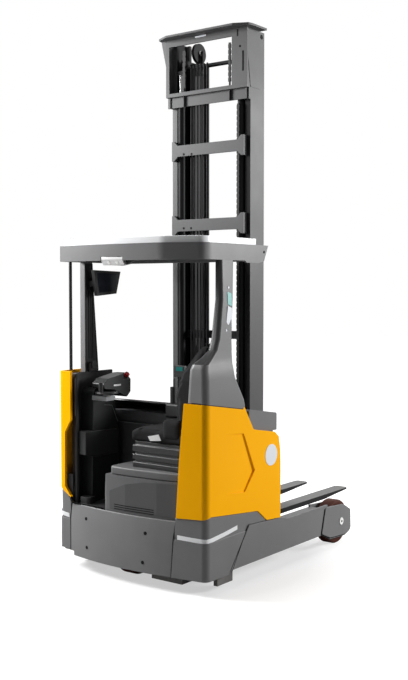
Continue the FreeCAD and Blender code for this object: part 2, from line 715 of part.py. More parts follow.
def seat():
    """Seat turned to the left: ridged bellows, cushion, and a back that leans to the right."""
    low = seat_side
    height = cushion_low - lid_top
    ridges = [block(f"bellows{i}", (110 + shrink, 450 - shrink), (low + 20 + shrink, low + 433 - shrink),
                    (lid_top + height * start, lid_top + height * end))
              for i, (start, end, shrink) in enumerate(((0, 0.2, 0), (0.2, 0.3, 14), (0.3, 0.5, 0),
                                                        (0.5, 0.6, 14), (0.6, 0.85, 0),
                                                        (0.85, 1, 14)))]
    subpart("seat_suspension", fuse("bellows_set", *ridges))
    top = cushion_low + 70
    cushion = profile("cushion", "YZ", [(low, cushion_low), (low + 453, cushion_low),
                                        (low + 453, top), (low + 395, top + 20), (low, top)],
                      92, 465, rounds=[(20, [2])])
    subpart("seat_cushion", cushion)
    lean = profile("backrest", "YZ", [(low + 5, top + 0.6), (low + 115, top + 6), (low + 128, top + 245),
                                      (low + 75, top + 405), (low - 20, top + 525),
                                      (low - 70, top + 571), (low - 104, top + 571),
                                      (low - 108, top + 500), (low - 104, top + 330),
                                      (low - 60, top + 165)], 150, 445, rounds=[(12, [5, 6])])
    crown = profile("backrest_front", "XZ", [(150, top), (150, top + 340), (210, top + 575),
                                             (390, top + 575), (445, top + 340), (445, top)],
                    low - 160, low + 140, rounds=[(25, [1, 2, 3, 4])])
    subpart("seat_back", common("back", lean, crown))
    arm = profile("armrest", "XZ", [(450, 1030), (512, 1030), (512, 1130), (450, 1130)],
                  low + 130, low + 430, rounds=[(20, [0, 1, 2, 3])])
    stalk = block("armrest_stalk", (472, 500), (low + 140, low + 180), (lid_top, 1030))
    grip = rod("lever", "Z", (485, low + 390, 1130), 22, 110)
    subpart("control_armrest", fuse("armrest_set", arm, stalk, grip))


def console():
    """Steering console on the left wall: tower, rounded head, bracket, small wheel and knob."""
    side = console_side
    tower_y = side - 108
    tower = profile("console_tower", "XZ", [(180, deck_top + mat), (440, deck_top + mat), (470, 830),
                                            (445, 950), (410, 1150), (370, 1220), (200, 1220)],
                    tower_y, side, rounds=[(40, [6])])
    head = profile("console_head", "XZ", [(200, 1225), (300, 1213), (430, 1152), (470, 1188),
                                          (472, 1298), (460, 1320), (410, 1320), (240, 1292),
                                          (195, 1258)], tower_y - 100, tower_y + 10,
                   rounds=[(15, [0, 2, 3, 8])])
    slope = profile("console_slope", "YZ", [(tower_y - 105, 1270), (tower_y - 105, 1330),
                                            (tower_y - 45, 1330)], 398, 480)
    subpart("steering_console", cut("console_cut", fuse("console", tower, head), slope))
    button = rod("button", "Z", (450, tower_y - 75, 1300), 18, 22)
    place(button, 450, tower_y - 75 - fit, 1300 + fit, Rotation(Vector(1, 0, 0), 45))
    subpart("stop_button", button)
    hub_y = tower_y - 108
    arm = profile("wheel_arm", "XZ", [(hub_x - 30, hub_z - 52), (hub_x + 45, hub_z - 52),
                                      (hub_x + 65, hub_z - 30), (hub_x + 45, hub_z - 15),
                                      (hub_x - 30, hub_z - 22)], hub_y - 22, tower_y)
    boss = rod("wheel_boss", "Z", (hub_x, hub_y, hub_z - 52), 24, 42)
    subpart("wheel_bracket", fuse("bracket", arm, boss))
    wheel = turned("wheel_dish", [(0, -10), (28, -10), (30, 0), (64, 0), (68, -5), (75, -5),
                                  (78, 1), (75, 9), (68, 9), (64, 7), (0, 7)], hub_x, hub_y, hub_z)
    wheel.Placement.Rotation = Rotation(Vector(1, 0, 0), 90)
    knob = rod("wheel_knob", "Z", (hub_x - 58, hub_y, hub_z + 6), 15, 70)
    subpart("steering_wheel", fuse("wheel_and_knob", wheel, knob))


def fittings():
    """Display and lamp under the guard."""
    post = guard_half - 45
    screen = profile("screen", "XZ", [(256, guard_top - 158), (528, guard_top - 165),
                                      (484, guard_top - 320), (288, guard_top - 336)],
                     post - 75, post - 45)
    arm = block("screen_arm", (272, 308), (post - 45, post), (guard_top - 270, guard_top - 230))
    subpart("display_monitor", fuse("monitor", screen, arm))
    low = guard_top - guard_rim
    subpart("cabin_lamp", profile("lamp_body", "XZ", [(6, low + 2), (6, low + 25), (105, low + 25),
                                                      (105, low - 6), (62, low - 29),
                                                      (24, low - 29)], -10, 176))


cabin()
drive_hood()
seat()
console()
fittings()


# ---------------------------------------------------------------- reach carriage and outer mast
def rail(name, sign, rear, outer_y, low, high):
    """A channel rail open to the middle of the truck."""
    inner_y = outer_y - rail_width
    web_y = outer_y - rail_web
    front = as_size(rear) + rail_depth
    points = [(rear, outer_y), (front, outer_y), (front, inner_y), (front - rail_flange, inner_y),
              (front - rail_flange, web_y), (as_size(rear) + rail_flange, web_y),
              (as_size(rear) + rail_flange, inner_y), (rear, inner_y)]
    points = [(x, as_size(y) * sign) for x, y in points]
    return profile(name, "XY", points, low, high)


roller = (rail_depth - rail_flange * 2) / 2 - fit
channel_mid = (rail_top + arm_bottom) / 2
reach_roller = (rail_top - arm_bottom) / 2 - arm_flange - fit


def reach_carriage():
    pieces = []
    rear = mast_rear - 310
    front = mast_rear + rail_depth
    crown = arm_top + 374
    for label, sign in (("left", 1), ("right", -1)):
        cheek_y = span(arm_inner - 30, arm_inner - 14, sign)
        pieces.append(profile(f"reach_cheek_{label}", "XZ",
                              [(rear, arm_bottom + 25), (front, arm_bottom + 5), (front, arm_top + 194),
                               (mast_rear + 60, crown), (mast_rear - 45, crown),
                               (mast_rear - 45, arm_top - 10), (rear, arm_top - 30)], *cheek_y))
        for i, x in enumerate((rear + 70, rear + 240)):
            y = span(arm_inner - 20, arm_inner + 60, sign)
            pieces.append(rod(f"reach_roller_{label}{i}", "Y", (x, y[0], channel_mid),
                              reach_roller, as_size(y[1]) - y[0]))
        pieces.append(block(f"reach_tie_{label}", (mast_rear + 40, mast_rear + 140),
                            span(outer_half, arm_inner - 30, sign), (150, 450)))
    pieces.append(block("reach_back", (mast_rear - 48, mast_rear - 33), (30 - arm_inner, arm_inner - 30),
                        (arm_bottom + 15, crown)))
    subpart("reach_carriage", fuse("reach_frame", *pieces))


cylinder_x = mast_rear + 5
cylinder_y = outer_half - 81
crossbar_rear = mast_rear - crossbar_plate - 30


def chain_run(name, x, y, low, high):
    """A leaf chain hanging along z, drawn as one strip whose edges step in between the links."""
    pitch, link, wide, narrow = 38, 27, 11, 8
    right, left = [], []
    z = low.number
    while z + pitch <= high.number:
        for level, reach in ((z, wide), (z + link, wide), (z + link, narrow), (z + pitch, narrow)):
            right.append(Vector(0, -reach, level))
            left.insert(0, Vector(0, reach, level))
        z += pitch
    wire = Part.makePolygon(right + left + right[:1])
    strip = doc.addObject("Part::Feature", name)
    strip.Shape = Part.Face(wire).extrude(Vector(9, 0, 0))
    place(strip, x, y, 0)
    return strip


def mast_outer():
    for label, sign in (("left", 1), ("right", -1)):
        column = rail(f"column_{label}", sign, mast_rear, outer_half, mast_bottom,
                      mast_top - head_plate)
        subpart(f"mast_column_{label}", column)
    # crossbars stand behind the columns: straight plates with flared ends on return plates
    bars = []
    inner = outer_half - rail_width
    end = outer_half - 28
    for i, (drop, height) in enumerate(((1383, 84), (846, 80))):
        low, high = mast_top - drop, mast_top - drop + height
        face = profile(f"crossbar{i}", "YZ",
                       [(-end, low - 30), (5 - inner, low - 30), (35 - inner, low),
                        (inner - 35, low), (inner - 5, low - 30), (end, low - 30),
                        (end, high + 30), (inner - 5, high + 30), (inner - 35, high),
                        (35 - inner, high), (5 - inner, high + 30), (-end, high + 30)],
                       crossbar_rear, crossbar_rear + crossbar_plate)
        ends = [block(f"crossbar_end{i}{sign}", (crossbar_rear + crossbar_plate, mast_rear),
                      span(end - 15, end, sign), (low - 30, high + 30))
                for sign in (1, -1)]
        bars.append(fuse(f"crossbar_set{i}", face, *ends))
    foot = block("mast_foot", (mast_rear, mast_rear + 80), (-outer_half, outer_half),
                 (mast_bottom - 14, mast_bottom))
    group = doc.addObject("Part::Compound", "crossbar_group")
    group.Links = bars + [foot]
    subpart("mast_crossbars", group)


def mast_head():
    """Cap open in the middle for the rising stages, gussets and the rear window frame."""
    rear = mast_rear - 60
    front = mast_rear + rail_depth - 59
    under = mast_top - head_plate
    cap_half = outer_half + 57
    cap_outline = [(rear - 85, 110 - cap_half), (rear - 37, 10 - cap_half), (rear, -cap_half),
                   (front + 4, -cap_half), (front + 4, 98 - cap_half), (rear + 28, 98 - cap_half),
                   (rear + 28, cap_half - 98), (front + 4, cap_half - 98), (front + 4, cap_half),
                   (rear, cap_half), (rear - 37, cap_half - 10), (rear - 85, cap_half - 110)]
    cap = profile("head_cap", "XY", cap_outline, under, mast_top)
    foot = mast_top - 410
    side = outer_half + 12
    gussets = [profile(f"head_gusset{sign}", "XZ", [(mast_rear - 3, foot), (front, foot),
                                                    (front, under), (rear, under)],
                       *span(outer_half, outer_half + width, sign))
               for sign, width in ((1, 52), (-1, 3))]
    taper = profile("gusset_taper", "YZ", [(outer_half - 1, foot - 5), (outer_half + 9, foot + 30),
                                           (outer_half + 54, under - 0.1),
                                           (outer_half + 80, under - 0.1), (outer_half + 80, foot - 5)],
                    rear - 100, front + 60)
    gussets[0] = cut("head_gusset_tapered", gussets[0], taper)
    plane = (rear, rear + crossbar_plate)
    beam = block("head_beam", plane, (-side, side), (mast_top - 62, under))
    tie_top, tie_low = mast_top - 393, mast_top - 493
    tie = block("head_tie", (rear, rear + 35), (-side, side), (tie_top - 26, tie_top))
    web = block("head_tie_web", (rear + 23, rear + 35), (-side, side), (tie_low, tie_top - 26))
    cheeks = [block(f"head_cheek{sign}", plane, span(low, side, sign), (tie_top, mast_top - 62))
              for sign, low in ((1, outer_half - 18), (-1, outer_half - 117))]
    legs = [block(f"head_leg{sign}", (rear + crossbar_plate, mast_rear),
                  span(outer_half - 15, outer_half, sign), (tie_low, under)) for sign in (1, -1)]
    # chains: two anchored through the tie, one hanging behind the right cylinder
    anchors, runs = [], []
    holes = []
    for sign in (1, -1):
        spot = (rear + 15, (outer_half - 143) * sign, tie_low)
        anchors.append(rod(f"chain_anchor{sign}", "Z", spot, 7, 135))
        holes.append(rod(f"anchor_hole{sign}", "Z", spot, 7 + fit, 135))
        runs.append(chain_run(f"chain_upper{sign}", rear + 10, spot[1], tie_low + 128, mast_top - 67))
    subpart("mast_head", cut("head", fuse("head_solid", cap, beam, tie, web, *gussets, *cheeks,
                                          *legs), *holes))
    runs.append(chain_run("chain_long", crossbar_rear + crossbar_plate + fit, 4 - cylinder_y,
                          mast_bottom + 600, tie_low - 1))
    group = doc.addObject("Part::Compound", "chain_group")
    group.Links = [fuse(f"chain_set{i}", anchor, run) for i, (anchor, run) in
                   enumerate(zip(anchors, runs))] + runs[2:]
    subpart("lift_chains", group)
    barrels = [tube(f"barrel{sign}", "Z", (cylinder_x, cylinder_y * sign, mast_bottom), 25, 4.5,
                    mast_top - 400 - mast_bottom) for sign in (1, -1)]
    pair = doc.addObject("Part::Compound", "barrels")
    pair.Links = barrels
    subpart("lift_cylinders", pair)


def mast_stage(name, step, top, low, tie_levels):
    """A nested stage: two rails, ties on the rear flanges and rollers in the stage outside."""
    rear = mast_rear + stage_step * step
    outer_y = outer_half - (rail_width + gap) * step
    pieces = [rail(f"{name}_rail{sign}", sign, rear, outer_y, low, top) for sign in (1, -1)]
    inner_y = outer_y - rail_width
    for i, (tie_low, tie_high) in enumerate(tie_levels):
        pieces.append(block(f"{name}_tie{i}", (as_size(rear) + 4, as_size(rear) + 20),
                            (-inner_y, inner_y), (tie_low, tie_high)))
    for sign in (1, -1):
        y = span(outer_y - 2, outer_y + gap + 26, sign)
        pieces.append(rod(f"{name}_roller{sign}", "Y",
                          (mast_rear + stage_step * (step - 1) + rail_depth / 2, y[0], low + 90),
                          roller, as_size(y[1]) - y[0]))
    return pieces


def inner_stages():
    """Middle stage with its piston rods, inner stage with the hose pulley and the free lift."""
    low = mast_bottom + 14
    waist = (mast_top - 2152, mast_top - 2097)
    middle = mast_stage("middle", 1, mast_top - 140, low,
                        ((low + 24, low + 204), waist))
    reach = outer_half - rail_width - gap
    middle.append(rod("middle_tube", "Y", (mast_rear + stage_step + 15, -reach, mast_top - 205), 15,
                      reach * 2))
    for sign in (1, -1):
        middle.append(block(f"rod_bracket{sign}", (cylinder_x - 22, mast_rear + stage_step + 5),
                            span(cylinder_y - 25, reach, sign),
                            (mast_top - 260, mast_top - 230)))
    subpart("mast_middle", fuse("middle_stage", *middle))
    rods = [rod(f"piston_rod{sign}", "Z", (cylinder_x, cylinder_y * sign, 200), 18, mast_top - 460)
            for sign in (1, -1)]
    pair = doc.addObject("Part::Compound", "rods")
    pair.Links = rods
    subpart("lift_rods", pair)
    low = mast_bottom + 28
    inner = mast_stage("inner", 2, mast_top - 170, low,
                       ((low + 20, low + 200), waist, (mast_top - 465, mast_top - 400)))
    pulley_x = mast_rear + stage_step * 2 + 3
    pulley_z = mast_top - 105
    arm_y = outer_half - 203
    arm_x = (pulley_x - 2, pulley_x + 14)
    inner.append(block("pulley_arm", arm_x, (arm_y - 20, arm_y), (mast_top - 260, pulley_z + 15)))
    inner.append(block("pulley_foot", arm_x, (arm_y - 20, outer_half - (rail_width + gap) * 2 - 10),
                       (mast_top - 260, mast_top - 200)))
    subpart("mast_inner", fuse("inner_stage", *inner))
    pulley = turned("pulley", [(15, -12), (71, -12), (71, -8), (60, -4), (60, 4), (71, 8), (71, 12),
                               (15, 12)], pulley_x, arm_y + 18, pulley_z)
    pin = rod("pulley_pin", "Y", (pulley_x, arm_y, pulley_z), 15, 32)
    subpart("hose_pulley", fuse("pulley_set", pulley, pin))
    free_x = mast_rear + stage_step * 2 + 68
    free_y = outer_half - 233
    free_lift = rod("free_lift", "Z", (free_x, free_y, low + 20), 42, 1340)
    foot = block("free_foot", (free_x - 48, free_x + 32), (free_y - 40, free_y + 40),
                 (low + 8, low + 20))
    subpart("free_lift_cylinder", fuse("free_lift_set", free_lift, foot))


reach_carriage()
mast_outer()
mast_head()
inner_stages()


# ---------------------------------------------------------------- fork carriage and forks
def fork_carriage():
    pieces = []
    plate_outer = outer_half - (rail_width + gap) * 3
    roller_x = mast_rear + stage_step * 2 + rail_depth / 2
    for sign in (1, -1):
        y = span(plate_outer - 20, plate_outer, sign)
        pieces.append(block(f"carriage_plate{sign}", (roller_x - 35, carriage_front), y,
                            (fork_top - 20, fork_top + 510)))
        for i, rise in enumerate((150, 440)):
            y = span(plate_outer - 2, plate_outer + gap + 25, sign)
            pieces.append(rod(f"carriage_roller{sign}{i}", "Y", (roller_x, y[0], fork_top + rise),
                              roller, as_size(y[1]) - y[0]))
    for i, rise in enumerate((-10, 390)):
        pieces.append(block(f"carriage_bar{i}", (carriage_front - 20, carriage_front), (-350, 350),
                            (fork_top + rise, fork_top + rise + 80)))
    subpart("fork_carriage", fuse("carriage", *pieces))
    # side shifter slides on the carriage bars; its lugs carry the pins that the forks tilt on
    back = carriage_front + fit
    shift = [block(f"shift_bar{i}", (back, back + 16), (-260, 260), (fork_top + low, fork_top + high))
             for i, (low, high) in enumerate(((-15, 80), (390, 475)))]
    shift += [block(f"shift_post{sign}", (back, back + 16), span(150, 200, sign),
                    (fork_top - 15, fork_top + 475)) for sign in (1, -1)]
    lug_rear, lug_front = carriage_front + 10, tilt_x + 18
    for sign in (1, -1):
        lug_y = span(118, 138, sign)
        shift.append(profile(f"shift_lug{sign}", "XZ", [(lug_rear, tilt_z - 18), (lug_front, tilt_z - 18),
                                                        (lug_front, tilt_z + 18),
                                                        (lug_rear, tilt_z + 18)], *lug_y,
                             rounds=[(17, [1, 2])]))
        pin_y = span(118, 164, sign)
        shift.append(rod(f"tilt_pin{sign}", "Y", (tilt_x, pin_y[0], tilt_z), 12,
                         as_size(pin_y[1]) - pin_y[0]))
    subpart("side_shifter", fuse("shifter", *shift))
    rear, front = fork_face - fork_thick - 20, fork_face - fork_thick
    tilt = [block(f"tilt_bar{i}", (rear, front), (-330, 330), (fork_top + low, fork_top + high))
            for i, (low, high) in enumerate(((12, 90), (350, 430)))]
    tilt += [block(f"tilt_post{sign}", (rear, front), span(60, 110, sign),
                   (fork_top + 12, fork_top + 430)) for sign in (1, -1)]
    tilt += [profile(f"tilt_lug{sign}", "XZ", [(tilt_x - 18, tilt_z - 18), (rear, tilt_z - 18),
                                               (rear, tilt_z + 18), (tilt_x - 18, tilt_z + 18)],
                     *span(142, 162, sign), rounds=[(17, [0, 3])]) for sign in (1, -1)]
    bores = [rod(f"tilt_bore{sign}", "Y", (tilt_x, span(140, 164, sign)[0], tilt_z), 12 + fit, 24)
             for sign in (1, -1)]
    subpart("tilt_frame", cut("tilt", fuse("tilt_solid", *tilt), *bores))


def fork(label, sign):
    back = fork_face - fork_thick
    tip = overall_length
    low = fork_top - fork_thick
    points = [(back, low), (tip - 400, low), (tip, fork_top - 12), (tip, fork_top),
              (fork_face, fork_top), (fork_face, fork_top + 470), (back, fork_top + 470)]
    centre = as_size(fork_y)
    blade = profile(f"fork_side_{label}", "XZ", points,
                    *span(centre - fork_width / 2, centre + fork_width / 2, sign),
                    rounds=[(15, [0])])
    nose = profile(f"fork_plan_{label}", "XY",
                   [(back - 5, centre * sign - fork_width / 2), (tip - 24, centre * sign - fork_width / 2),
                    (tip, centre * sign - 40), (tip, centre * sign + 40),
                    (tip - 24, centre * sign + fork_width / 2), (back - 5, centre * sign + fork_width / 2)],
                   100, 900, rounds=[(12, [2, 3])])
    subpart(f"fork_{label}", common(f"fork_shape_{label}", blade, nose))


fork_carriage()
sides(fork)

# ---------------------------------------------------------------- check and write
doc.recompute()
for thing in doc.Objects:
    if "Invalid" in thing.State or "Error" in thing.State:
        raise RuntimeError(f"{thing.Name} failed: {thing.State}")
os.makedirs("parts", exist_ok=True)
for thing in nodes:
    shape = thing.Shape
    if shape.isNull() or not shape.isValid() or not shape.Solids:
        raise RuntimeError(f"{thing.Label} has no valid shape")
    shape.exportStep(f"parts/{thing.Label}.step")
    box = shape.BoundBox
    print(f"{thing.Label:22s} solids {len(shape.Solids)} x {box.XMin:8.1f} {box.XMax:8.1f} "
          f"y {box.YMin:7.1f} {box.YMax:7.1f} z {box.ZMin:7.1f} {box.ZMax:7.1f}")
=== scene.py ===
"""Reach truck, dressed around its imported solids: paint, mouldings, seat, chains and hoses.

Metres, in the frame of the solids: +X forward to the fork tips, +Y left, +Z up from the floor.
"""

import json
import math

import bmesh
import bpy
from mathutils import Matrix, Vector

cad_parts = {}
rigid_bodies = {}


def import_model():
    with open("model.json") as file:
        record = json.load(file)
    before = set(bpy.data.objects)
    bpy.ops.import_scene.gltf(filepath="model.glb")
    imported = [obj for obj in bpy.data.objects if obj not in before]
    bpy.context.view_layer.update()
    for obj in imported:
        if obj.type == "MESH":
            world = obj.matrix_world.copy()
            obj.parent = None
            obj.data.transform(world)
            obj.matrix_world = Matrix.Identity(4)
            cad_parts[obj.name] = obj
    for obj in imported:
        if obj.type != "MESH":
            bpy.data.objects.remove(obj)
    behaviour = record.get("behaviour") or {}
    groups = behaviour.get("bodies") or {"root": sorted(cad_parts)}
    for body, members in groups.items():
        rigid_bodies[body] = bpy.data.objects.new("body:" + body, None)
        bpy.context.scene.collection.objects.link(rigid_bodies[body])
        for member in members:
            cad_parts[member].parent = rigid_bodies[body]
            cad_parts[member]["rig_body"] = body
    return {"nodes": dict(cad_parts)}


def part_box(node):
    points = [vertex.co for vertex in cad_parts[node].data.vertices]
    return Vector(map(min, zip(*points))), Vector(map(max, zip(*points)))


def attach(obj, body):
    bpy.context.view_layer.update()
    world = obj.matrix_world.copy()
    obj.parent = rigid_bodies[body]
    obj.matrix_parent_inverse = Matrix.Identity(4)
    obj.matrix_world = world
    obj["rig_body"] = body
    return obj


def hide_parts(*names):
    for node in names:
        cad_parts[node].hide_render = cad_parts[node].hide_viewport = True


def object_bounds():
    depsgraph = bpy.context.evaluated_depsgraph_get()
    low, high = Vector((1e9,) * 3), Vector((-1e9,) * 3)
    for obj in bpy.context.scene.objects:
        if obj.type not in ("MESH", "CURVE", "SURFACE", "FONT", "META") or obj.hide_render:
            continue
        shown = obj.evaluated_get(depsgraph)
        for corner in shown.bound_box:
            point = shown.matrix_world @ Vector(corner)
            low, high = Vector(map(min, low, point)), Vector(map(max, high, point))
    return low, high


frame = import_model()
solid_box = [list(corner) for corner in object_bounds()]
rear = solid_box[0][0]
scene = bpy.context.scene


# ---------------------------------------------------------------- studio
# A pale sweep of floor, white surroundings, and large soft lamps to the left and right of the
# camera, so that the faces turned to the sides are bright and the rounded corners between dark.
def lamp(name, place, target, size, watts):
    """A square soft lamp turned to a target."""
    light = bpy.data.lights.new(name, "AREA")
    light.energy = watts
    light.size = size
    holder = bpy.data.objects.new(name, light)
    holder.location = place
    holder.rotation_mode = "QUATERNION"
    holder.rotation_quaternion = (Vector(target) - Vector(place)).to_track_quat("-Z", "Y")
    scene.collection.objects.link(holder)


lamp("lamp_right", (5.6, -6.6, 3.8), (0, 0, 1.3), 2.6, 900)
lamp("lamp_left", (-2.9, 4.4, 3.9), (-1.2, 0, 1.4), 1.8, 640)
lamp("lamp_top", (-0.5, 0.5, 8.0), (0, 0, 0), 4.0, 300)


def worked(tree, operation, *values):
    """A Math node's result, from numbers or the sockets that feed it."""
    node = tree.nodes.new("ShaderNodeMath")
    node.operation = operation
    for socket, value in zip(node.inputs, values):
        if isinstance(value, bpy.types.NodeSocket):
            tree.links.new(value, socket)
        else:
            socket.default_value = value
    return node.outputs[0]


def ranged(tree, value, span, result=(0, 1), kind="LINEAR"):
    """A Map Range node's result, from one span to another."""
    node = tree.nodes.new("ShaderNodeMapRange")
    node.interpolation_type = kind
    node.inputs["From Min"].default_value, node.inputs["From Max"].default_value = span
    node.inputs["To Min"].default_value, node.inputs["To Max"].default_value = result
    tree.links.new(value, node.inputs["Value"])
    return node.outputs["Result"]


fill_light = 0.05
world = bpy.data.worlds.new("white_studio")
scene.world = world
world.use_nodes = True
tree = world.node_tree
background = tree.nodes["Background"]
background.inputs["Color"].default_value = (1, 1, 1, 1)
paths = tree.nodes.new("ShaderNodeLightPath")
seen = worked(tree, "MAXIMUM", paths.outputs["Is Camera Ray"], paths.outputs["Is Glossy Ray"])
seen = worked(tree, "MAXIMUM", seen, paths.outputs["Is Transmission Ray"])
tree.links.new(ranged(tree, seen, (0, 1), (fill_light, 1)), background.inputs["Strength"])

floor_centre, floor_near, floor_far = (-0.65, 0.1, 0), 0.95, 1.9
glow_near, glow_added = 0.54, 0.5
bpy.ops.mesh.primitive_plane_add(size=60)
floor = bpy.context.object
floor.name = "studio_floor"
sweep = bpy.data.materials.new("pale_floor")
sweep.use_nodes = True
tree = sweep.node_tree
paint = tree.nodes["Principled BSDF"]
paint.inputs["Base Color"].default_value = (0.42, 0.42, 0.42, 1)
paint.inputs["Roughness"].default_value = 0.9
paint.inputs["Specular IOR Level"].default_value = 0.0
camera_ray = tree.nodes.new("ShaderNodeLightPath").outputs["Is Camera Ray"]
middle = tree.nodes.new("ShaderNodeVectorMath")
middle.operation = "SUBTRACT"
middle.inputs[1].default_value = floor_centre
tree.links.new(tree.nodes.new("ShaderNodeTexCoord").outputs["Object"], middle.inputs[0])
reach = tree.nodes.new("ShaderNodeVectorMath")
reach.operation = "LENGTH"
tree.links.new(middle.outputs[0], reach.inputs[0])
far = ranged(tree, reach.outputs["Value"], (floor_near, floor_far), (0, glow_added))
bright = worked(tree, "ADD", worked(tree, "MULTIPLY", camera_ray, glow_near),
                worked(tree, "MULTIPLY", far, camera_ray))
glow = tree.nodes.new("ShaderNodeEmission")
tree.links.new(bright, glow.inputs["Strength"])
add = tree.nodes.new("ShaderNodeAddShader")
tree.links.new(paint.outputs[0], add.inputs[0])
tree.links.new(glow.outputs[0], add.inputs[1])
tree.links.new(add.outputs[0], tree.nodes["Material Output"].inputs["Surface"])
floor.data.materials.append(sweep)

camera = bpy.data.objects.new("camera", bpy.data.cameras.new("camera"))
camera.data.lens = 52.83
camera.data.sensor_width = 36
camera.data.clip_end = 200
heading, dip = math.radians(36.86), math.radians(2.93)
aim = Vector((math.cos(heading) * math.cos(dip), math.sin(heading) * math.cos(dip), -math.sin(dip)))
camera.location = (rear - 4.7808, -4.2473, 1.9026)
camera.rotation_mode = "QUATERNION"
camera.rotation_quaternion = aim.to_track_quat("-Z", "Y")
scene.collection.objects.link(camera)
scene.camera = camera
scene.view_settings.view_transform = "Standard"


# ---------------------------------------------------------------- chassis frame
# Welded plate frame with the battery tray, sprayed satin black. Its paint is a fine grain with
# slow changes of shade, and dust that thickens towards the floor.
dust_top, dust_full = 0.55, 0.02
gloss_swing = 0.18


def surface_group():
    """Shade changes, grain height and low dust, shared by every coated or moulded surface."""
    group = bpy.data.node_groups.new("coated_surface", "ShaderNodeTree")
    for name, kind, value in (("Color", "NodeSocketColor", (0.5, 0.5, 0.5, 1)),
                              ("Dust Color", "NodeSocketColor", (0.42, 0.40, 0.37, 1)),
                              ("Grain Scale", "NodeSocketFloat", 900.0),
                              ("Shade Change", "NodeSocketFloat", 0.12),
                              ("Dust", "NodeSocketFloat", 0.2),
                              ("Gloss Level", "NodeSocketFloat", 0.45)):
        socket = group.interface.new_socket(name, in_out="INPUT", socket_type=kind)
        socket.default_value = value
    for name, kind in (("Color", "NodeSocketColor"), ("Roughness", "NodeSocketFloat"),
                       ("Height", "NodeSocketFloat")):
        group.interface.new_socket(name, in_out="OUTPUT", socket_type=kind)
    node, link = group.nodes.new, group.links.new
    given, out = node("NodeGroupInput"), node("NodeGroupOutput")
    place = node("ShaderNodeTexCoord").outputs["Object"]
    grain = node("ShaderNodeTexNoise")
    grain.inputs["Detail"].default_value = 2.0
    link(place, grain.inputs["Vector"])
    link(given.outputs["Grain Scale"], grain.inputs["Scale"])
    link(grain.outputs["Fac"], out.inputs["Height"])
    cloud = node("ShaderNodeTexNoise")
    cloud.inputs["Scale"].default_value = 4.0
    cloud.inputs["Detail"].default_value = 4.0
    link(place, cloud.inputs["Vector"])
    swing = worked(group, "SUBTRACT", cloud.outputs["Fac"], 0.5)
    shaded = node("ShaderNodeVectorMath")
    shaded.operation = "SCALE"
    link(given.outputs["Color"], shaded.inputs[0])
    link(worked(group, "MULTIPLY_ADD", swing, given.outputs["Shade Change"], 1.0),
         shaded.inputs["Scale"])
    split = node("ShaderNodeSeparateXYZ")
    link(place, split.inputs[0])
    low = ranged(group, split.outputs["Z"], (dust_top, dust_full), kind="SMOOTHSTEP")
    film = worked(group, "MULTIPLY", low, ranged(group, cloud.outputs["Fac"], (0.35, 0.75)))
    mix = node("ShaderNodeMix")
    mix.data_type = "RGBA"
    link(worked(group, "MULTIPLY", film, given.outputs["Dust"]), mix.inputs["Factor"])
    link(shaded.outputs[0], mix.inputs["A"])
    link(given.outputs["Dust Color"], mix.inputs["B"])
    link(mix.outputs["Result"], out.inputs["Color"])
    link(worked(group, "MULTIPLY_ADD", swing, gloss_swing, given.outputs["Gloss Level"]),
         out.inputs["Roughness"])
    return group


coated_surface = surface_group()


def coated(name, color, gloss=0.45, grain=900, relief=0.0002, change=0.12, dust=0.2, metal=0.0,
           shine=0.5):
    """A painted, moulded or metal finish made from the shared surface group."""
    finish = bpy.data.materials.new(name)
    finish.use_nodes = True
    nodes, join = finish.node_tree.nodes, finish.node_tree.links.new
    shader = nodes["Principled BSDF"]
    shader.inputs["Metallic"].default_value = metal
    shader.inputs["Specular IOR Level"].default_value = shine
    surface = nodes.new("ShaderNodeGroup")
    surface.node_tree = coated_surface
    surface.inputs["Color"].default_value = (*color, 1)
    surface.inputs["Grain Scale"].default_value = grain
    surface.inputs["Shade Change"].default_value = change
    surface.inputs["Dust"].default_value = dust
    surface.inputs["Gloss Level"].default_value = gloss
    bump = nodes.new("ShaderNodeBump")
    bump.inputs["Strength"].default_value = 0.5
    bump.inputs["Distance"].default_value = relief
    join(surface.outputs["Color"], shader.inputs["Base Color"])
    join(surface.outputs["Roughness"], shader.inputs["Roughness"])
    join(surface.outputs["Height"], bump.inputs["Height"])
    join(bump.outputs["Normal"], shader.inputs["Normal"])
    return finish


def dress(node, finish):
    """Give a solid that stays as it is its finish."""
    solid = frame["nodes"][node]
    if not solid.material_slots:
        solid.data.materials.append(finish)
    for place in solid.material_slots:
        place.material = finish


frame_black = coated("frame_black", (0.035, 0.035, 0.038), gloss=0.5, dust=0.35)
dress("chassis_frame", frame_black)

# ---------------------------------------------------------------- load arms
# Pressed channel arms in graphite powder coat, each with a separate wheel plate bolted over the
# cheek and a pale cap on the axle.
def settle(name, shape, body, finish, crease=35):
    """Turn a finished bmesh into a piece that rides on a body and has its finish."""
    for face in shape.faces:
        face.smooth = True
    for edge in shape.edges:
        edge.smooth = len(edge.link_faces) == 2 and edge.calc_face_angle(0) < math.radians(crease)
    mesh = bpy.data.meshes.new(name)
    shape.to_mesh(mesh)
    shape.free()
    piece = bpy.data.objects.new(name, mesh)
    scene.collection.objects.link(piece)
    piece.data.materials.append(finish)
    even = piece.modifiers.new("even_shading", "WEIGHTED_NORMAL")
    even.keep_sharp = True
    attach(piece, body)
    return piece


def eased(shape, width, segments=2, fold=40):
    """Round a shape's edges where the surface folds by more than an angle in degrees."""
    folds = [edge for edge in shape.edges
             if len(edge.link_faces) == 2 and edge.calc_face_angle(0) > math.radians(fold)]
    bmesh.ops.bevel(shape, geom=folds, offset=width, segments=segments, profile=0.5,
                    affect="EDGES", clamp_overlap=True, material=-1)
    return shape


